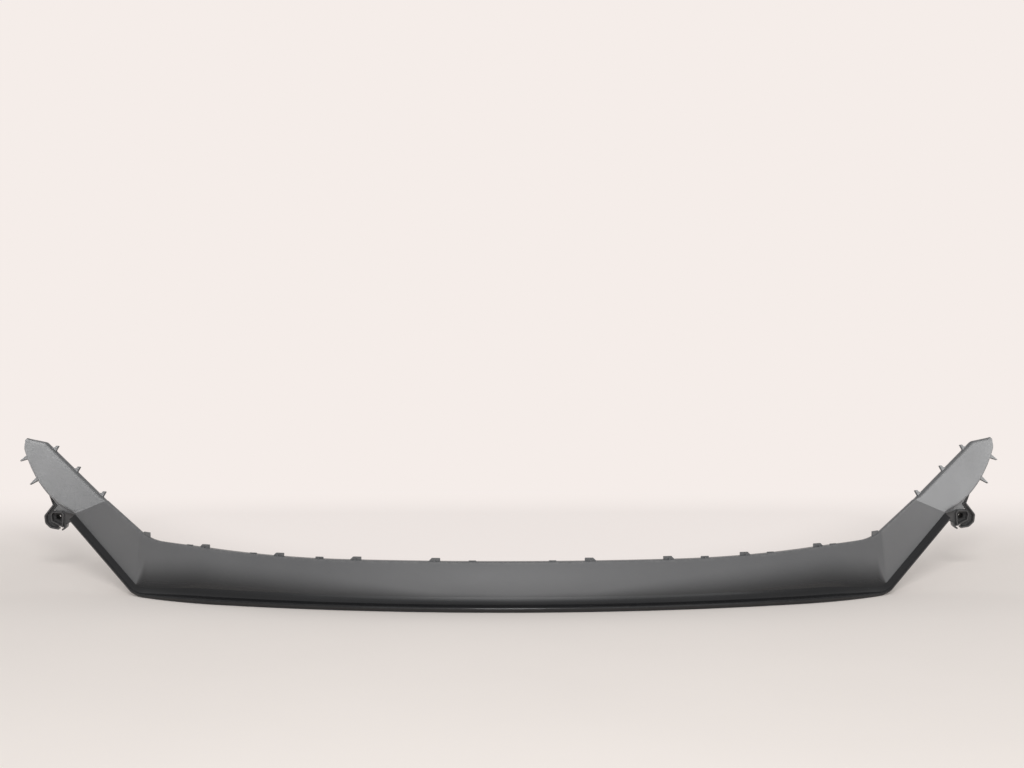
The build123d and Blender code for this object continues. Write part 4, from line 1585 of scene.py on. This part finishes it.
@dataclass(frozen=True)
class Studio:
    """Pale seamless floor and backdrop, soft lamps and the camera.

    Lengths are in metres, apart from the camera's place, which is in the drawing frame.
    """

    floor_tone: tuple[float, float, float] = (0.95, 0.888, 0.842)
    back_tone: tuple[float, float, float] = (0.913, 0.847, 0.815)
    # Paler floor colour in the bay behind the lip: painted light that washes out the lip's shadow there.
    bay_light_tone: tuple[float, float, float] = (0.98, 0.915, 0.88)
    bay_width: float = 0.8
    bay_from: tuple[float, float] = (-0.18, 0.2)
    # How much the bay glows to the camera: painted light over the lip's shadow.
    bay_light_glow: float = 0.7
    back_from: tuple[float, float] = (0.2, 1.0)
    half_width: float = 9.0
    front: float = -8.0
    wall_at: float = 6.5
    wall_height: float = 4.5
    sweep_radius: float = 1.4
    sweep_steps: int = 24
    width_steps: int = 9
    floor_drop: float = 0.0004
    mottle_tone: tuple[float, float, float] = (0.5, 0.45, 0.42)
    mottle_scale: float = 3.0
    mottle_range: tuple[float, float] = (0.3, 0.7)
    mottle_share: float = 0.04
    paper_roughness: float = 0.9
    paper_gloss: float = 0.1
    world_tone: tuple[float, float, float] = (1.0, 1.0, 1.0)
    world_strength: float = 0.42
    camera_x: float = -24.0
    camera_y: float = -2300.0
    camera_z: float = 510.0
    pitch: float = 4.397
    yaw: float = 0.57
    focal_pixels: float = 1608.0
    image_width: float = 1024.0
    sensor: float = 36.0
    lamps: tuple[Lamp, ...] = (
        Lamp("key", (0.0, -3.0, 2.0), (0.0, -0.1, 0.0), (1.2, 0.5), 40.0, mirrored=False),
        Lamp("front_box", (0.0, -3.4, 0.85), (0.0, -0.2, 0.05), (0.62, 0.6), 14.0),
        Lamp("front_panel", (0.5, -4.2, 1.1), (0.0, -0.2, 0.05), (4.6, 1.6), 18.0),
        Lamp("left_box", (-2.75, 1.15, 0.9), (-0.7, 0.1, 0.15), (1.0, 1.0), 17.0),
        Lamp("right_box", (2.9, 0.7, 0.8), (0.7, 0.1, 0.15), (1.3, 1.0), 18.5),
    )

    def sweep(self) -> None:
        """Floor that turns up into a wall: a line, a quarter circle and a line, carried across the width."""
        angle = np.linspace(0.0, math.pi / 2, self.sweep_steps)
        turn_y = self.wall_at - self.sweep_radius + self.sweep_radius * np.sin(angle)
        turn_z = self.sweep_radius * (1 - np.cos(angle))
        y = np.concatenate(([self.front], turn_y, [self.wall_at]))
        z = np.concatenate(([0.0], turn_z, [self.wall_height])) - self.floor_drop
        x = np.linspace(-self.half_width, self.half_width, self.width_steps)
        points = np.stack(np.broadcast_arrays(x[None, :], y[:, None], z[:, None]), axis=-1).reshape(-1, 3)
        quads = grid_quads(len(y), len(x), wrap_rows=False, wrap_columns=False)
        mesh = bpy.data.meshes.new("studio_sweep")
        mesh.from_pydata(points.tolist(), [], quads.tolist())
        mesh.shade_smooth()
        mesh.materials.append(self.paper())
        sweep = bpy.data.objects.new("studio_sweep", mesh)
        bpy.context.scene.collection.objects.link(sweep)
        sweep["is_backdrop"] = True

    def paper(self) -> bpy.types.Material:
        """Matt warm paper with a faint mottle.

        Returns:
            A material that the camera and mirrors see at one even tone up the back, and partly so in the bay
            behind the lip, where a paler floor colour and a glow are painted light that washes out the lip's
            shadow.
        """
        material = bpy.data.materials.new("studio_paper")
        material.use_nodes = True
        material.node_tree.nodes.clear()
        desk = NodeDesk(material.node_tree)
        place = desk.add("ShaderNodeTexCoord").outputs["Object"]
        parts = desk.add("ShaderNodeSeparateXYZ", {0: place})
        clouds = desk.noise(place, self.mottle_scale, detail=4.0)
        mottle = desk.spread(clouds, *self.mottle_range, 0.0, 1.0)
        wide = desk.math("DIVIDE", parts.outputs["X"], self.bay_width)
        wide = desk.math("MINIMUM", desk.math("MULTIPLY", wide, wide), 1.0)
        low, high = (desk.blend(wide, near, far) for near, far in zip(self.bay_from, self.back_from))
        bay = desk.smooth(parts.outputs["Y"], low, high)
        # The floor is painted paler in the bay, painted light over the lip's shadow.
        floor = desk.mix(bay, (*self.floor_tone, 1.0), (*self.bay_light_tone, 1.0))
        mottle = desk.math("MULTIPLY", mottle, self.mottle_share)
        floor = desk.mix(mottle, floor, (*self.mottle_tone, 1.0))
        paper = desk.add("ShaderNodeBsdfPrincipled", {
            "Base Color": floor, "Roughness": self.paper_roughness, "Specular IOR Level": self.paper_gloss})
        glow = desk.add("ShaderNodeEmission", {"Color": (*self.back_tone, 1.0), "Strength": 1.0})
        path = desk.add("ShaderNodeLightPath")
        seen = desk.math("MAXIMUM", path.outputs["Is Camera Ray"], path.outputs["Is Glossy Ray"])
        seen = desk.math("MAXIMUM", seen, path.outputs["Is Transmission Ray"])
        back = desk.smooth(parts.outputs["Y"], *self.back_from)
        # The bay glows to the camera and mirrors as well: painted light over the lip's shadow.
        back = desk.math("MAXIMUM", back, desk.math("MULTIPLY", bay, self.bay_light_glow))
        share = desk.math("MULTIPLY", back, seen)
        both = desk.add("ShaderNodeMixShader", {0: share, 1: paper.outputs[0], 2: glow.outputs[0]})
        desk.add("ShaderNodeOutputMaterial", {"Surface": both.outputs[0]})
        return material

    def world(self) -> None:
        """Even light from all round."""
        world = bpy.data.worlds.new("studio_world")
        world.use_nodes = True
        background = world.node_tree.nodes["Background"]
        background.inputs["Color"].default_value = (*self.world_tone, 1.0)
        background.inputs["Strength"].default_value = self.world_strength
        bpy.context.scene.world = world

    def camera(self, shift: np.ndarray) -> None:
        """Camera at the front, a little above the lip and looking slightly down.

        Args:
            shift: The drawing frame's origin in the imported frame, in metres.
        """
        data = bpy.data.cameras.new("camera")
        data.sensor_width = self.sensor
        data.lens = self.focal_pixels * self.sensor / self.image_width
        camera = bpy.data.objects.new("camera", data)
        camera.location = np.array((self.camera_x, self.camera_y, self.camera_z)) * METRES + shift
        camera.rotation_euler = [math.radians(angle) for angle in (90.0 - self.pitch, 0.0, -self.yaw)]
        bpy.context.scene.collection.objects.link(camera)
        bpy.context.scene.camera = camera

    def build(self, shift: np.ndarray) -> None:
        """Builds the studio round the lip.

        Args:
            shift: The drawing frame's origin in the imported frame, in metres.
        """
        self.sweep()
        self.world()
        for lamp in self.lamps:
            lamp.build()
        self.camera(shift)
        bpy.context.scene.view_settings.view_transform = "Standard"


def main() -> None:
    """Loads the frame, builds every sub-assembly in order and dresses it."""
    logging.basicConfig(level=logging.INFO, format="%(name)s: %(message)s")
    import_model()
    cad_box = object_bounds()
    effects = SurfaceEffects()
    # Satin fades into gloss black with painted shade up the face; the raw black has painted shade in the
    # screw's bore.
    satin, raw = SATIN_GREY.material(effects, GLOSS_BLACK), RAW_BLACK.material(effects, BORE_SHADE)
    shell = LipShell()
    placer = Placer(np.array(cad_box[0]), shell.underside_trim)
    lip = placer.piece("lip_shell", shell.skin(), satin)
    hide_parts(NODE)
    wing = UpperWing(shell)
    cheek, ear, clips, hooks = Cheek(wing), ScrewEar(shell), TopClips(shell), WingClips(wing)
    for side in Side:
        placer.piece(f"upper_wing_{side.value}", wing.skin().on(side), satin)
        placer.piece(f"cheek_{side.value}", cheek.skin().on(side), satin)
        placer.piece(f"screw_ear_{side.value}", ear.skin().on(side), raw)
        placer.piece(f"top_clips_{side.value}", clips.skin().on(side), satin)
        placer.piece(f"wing_clips_{side.value}", hooks.skin().on(side), satin)
    Studio().build(placer.shift)


if __name__ == "__main__":
    main()
